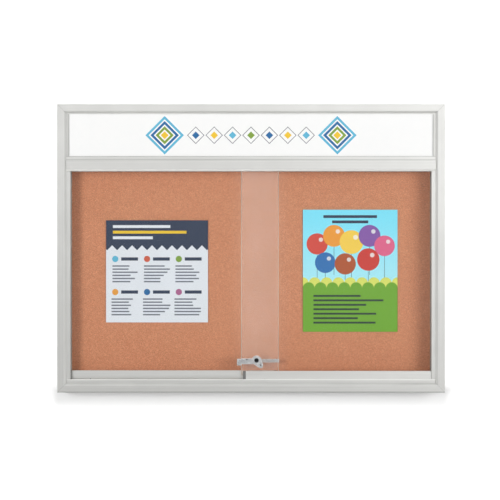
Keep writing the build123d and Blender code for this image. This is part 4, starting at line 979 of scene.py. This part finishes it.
def pane_finish(name, node, free_edge):
    """Clear glass for one pane, frosted at its ends, with a film and a ground border at its free edge."""
    glass = {"Transmission_Weight": 1.0, "IOR": 1.5, "Emission_Strength": PANE_LIGHT}
    made, tree, position = finish(name, **glass, **FILM)
    shader = tree.nodes["Principled BSDF"]
    low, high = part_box(node)
    x = split(tree, position)["X"]
    from_end = calc(tree, "MINIMUM", calc(tree, "SUBTRACT", x, low.x), calc(tree, "SUBTRACT", high.x, x))
    end = ease(tree, from_end, PENCIL_RADIUS + END_SOFT, PENCIL_RADIUS - END_SOFT)
    smear = use(tree, grain, Place=position, Size=0.11)["Grain"]
    tint = paint(tree, smear, ink(252, 254, 253), ink(254, 255, 255))
    tree.links.new(paint(tree, end, tint, ink(214, 236, 228)), shader.inputs["Base Color"])
    dull = calc(tree, "MAXIMUM", spread(tree, smear, 0.0, 0.03), calc(tree, "MULTIPLY", end, FROST))
    tree.links.new(dull, shader.inputs["Roughness"])
    from_free = calc(tree, "ABSOLUTE", calc(tree, "SUBTRACT", x, free_edge))
    handled = overlap(tree, ease(tree, from_free, HAND_REACH, 0.02), spread(tree, smear, *FILM_WEIGHT))
    border = ease(tree, from_free, BORDER + BORDER_SOFT, BORDER - BORDER_SOFT)
    coat = calc(tree, "MAXIMUM", handled, border)
    tree.links.new(coat, shader.inputs["Coat Weight"])
    leaving = paint(tree, coat, (0.0, 0.0, 0.0, 1.0), FILM_TINT)
    tree.links.new(paint(tree, end, leaving, END_TINT), shader.inputs["Emission Color"])
    clear = put(tree, "ShaderNodeBsdfTransparent", {"Color": (0.98, 0.986, 0.984, 1.0)})
    rays = put(tree, "ShaderNodeLightPath").outputs
    passing = calc(tree, "MAXIMUM", rays["Is Shadow Ray"], rays["Is Diffuse Ray"])
    both = put(tree, "ShaderNodeMixShader", {0: passing, 1: shader.outputs[0], 2: clear.outputs[0]})
    tree.links.new(both.outputs[0], tree.nodes["Material Output"].inputs["Surface"])
    return made


left_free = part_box("left_door_glass")[1].x
right_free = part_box("right_door_glass")[0].x
left_glass = pane_finish("left_pane_finish", "left_door_glass", left_free)
right_glass = pane_finish("right_pane_finish", "right_door_glass", right_free)
print("the panes overlap by", round((left_free - right_free) * MM, 1), "mm")

# %% [markdown]
# Each pane starts as a cube, and its four upright edges get a round bevel, as if ground on a wheel. The
# bevel is shaded smooth and the broad faces flat. Smooth shading across both would bend the broad faces'
# normals near their edges, and the pane would mirror the room like a bowl.

# %% Model the panes
def pane(side, material):
    """A pane in the place of a measured one, with its upright edges ground round like a pencil."""
    node = f"{side}_door_glass"
    low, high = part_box(node)
    bpy.ops.object.select_all(action="DESELECT")
    bpy.ops.mesh.primitive_cube_add(size=1, location=(low + high) / 2)
    made = bpy.context.object
    made.name = f"{side}_pane"
    made.scale = high - low
    bpy.ops.object.transform_apply(location=True, rotation=True, scale=True)
    bpy.context.tool_settings.mesh_select_mode = (False, True, False)
    bpy.ops.object.mode_set(mode="EDIT")
    bpy.ops.mesh.select_all(action="DESELECT")
    bpy.ops.object.mode_set(mode="OBJECT")
    points = made.data.vertices
    for edge in made.data.edges:
        foot, head = (points[index].co.z for index in edge.vertices)
        edge.select = abs(head - foot) > (high.z - low.z) / 2
    bpy.ops.object.mode_set(mode="EDIT")
    bpy.ops.mesh.bevel(offset=PENCIL_RADIUS, segments=6, affect="EDGES")
    bpy.ops.object.mode_set(mode="OBJECT")
    bpy.ops.object.shade_smooth()
    for face in made.data.polygons:
        face.use_smooth = face.area < (high.x - low.x) * (high.y - low.y)
    made.data.materials.append(material)
    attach(made, f"{side}_door")
    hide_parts(node)
    print(made.name, [round(length * MM, 1) for length in made.dimensions], "mm")


pane("left", left_glass)
pane("right", right_glass)

# %% [markdown]
# ## Soft and moulded pieces
# The panes are bedded in a greyish vinyl strip. The caps of the shoes are nylon, black when new and faded
# to grey, the rollers white nylon turned on a lathe, and the bumpers black rubber. Plastics differ mostly
# in tone, gloss and grain, so the function that made the zinc coat makes them all.

# %% Make the plastics
grainy("clear_vinyl", (150, 152, 152), (178, 180, 180), (204, 206, 206), 0.002, (0.3, 0.45), 0.00002)
grainy("black_nylon", (104, 104, 103), (120, 120, 118), (146, 146, 144), 0.0008, (0.36, 0.5), 0.00003)
grainy("white_nylon", (214, 210, 200), (232, 229, 220), (255, 255, 246), 0.0015, (0.34, 0.46), 0.00002)
grainy("black_rubber", (30, 30, 30), (44, 43, 42), (70, 69, 68), 0.0006, (0.72, 0.9), 0.00004)

# %% [markdown]
# ## Lock
# The lock is a small chromed casting with a blackened plug that takes the key. Chrome is a mirror, so what
# makes it look real is what spoils the mirror: fine wipe marks, slightly milky patches and rubbed edges.
# The plug's black is worn through to the metal at its edges.

# %% Make chrome
CHROME_ARRIS = 0.0012

chrome, tree, position = finish("chrome_finish", Metallic=1.0)
wiped = use(tree, streaks, Place=position, Stretch=(160.0, 1600.0, 4200.0))["Line"]
milky = use(tree, grain, Place=position, Size=0.014)["Grain"]
rubbed = use(tree, worn, Place=position, Radius=0.0005)["Edge"]
colour = paint(tree, milky, ink(236, 237, 238), ink(243, 244, 245))
colour = paint(tree, rubbed, colour, ink(244, 244, 244), 0.5)
haze = calc(tree, "MULTIPLY", calc(tree, "ADD", wiped, milky), 0.5)
surface(tree, colour, haze, (0.2, 0.29), wiped, 0.000002, CHROME_ARRIS)
dress(chrome, *slot_parts["chrome"])
print("chrome on", slot_parts["chrome"])

# %% Make the blackened plug
PLUG_TONES = (26, 26, 28), (40, 40, 42), (120, 120, 122)
grainy("dark_plug", *PLUG_TONES, 0.0012, (0.34, 0.5), 0.00001, wear=(0.0003, 0.6), Metallic=0.7)

# %% [markdown]
# ## Finish
# The box of everything is compared with the box of the measured parts, to show whether the added pieces
# make the board bigger.

# %% Compare the boxes and finish
low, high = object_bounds()
print("grown by", [round((a - b) * 1000, 3) for a, b in zip(high - low, case_high - case_low)], "mm")
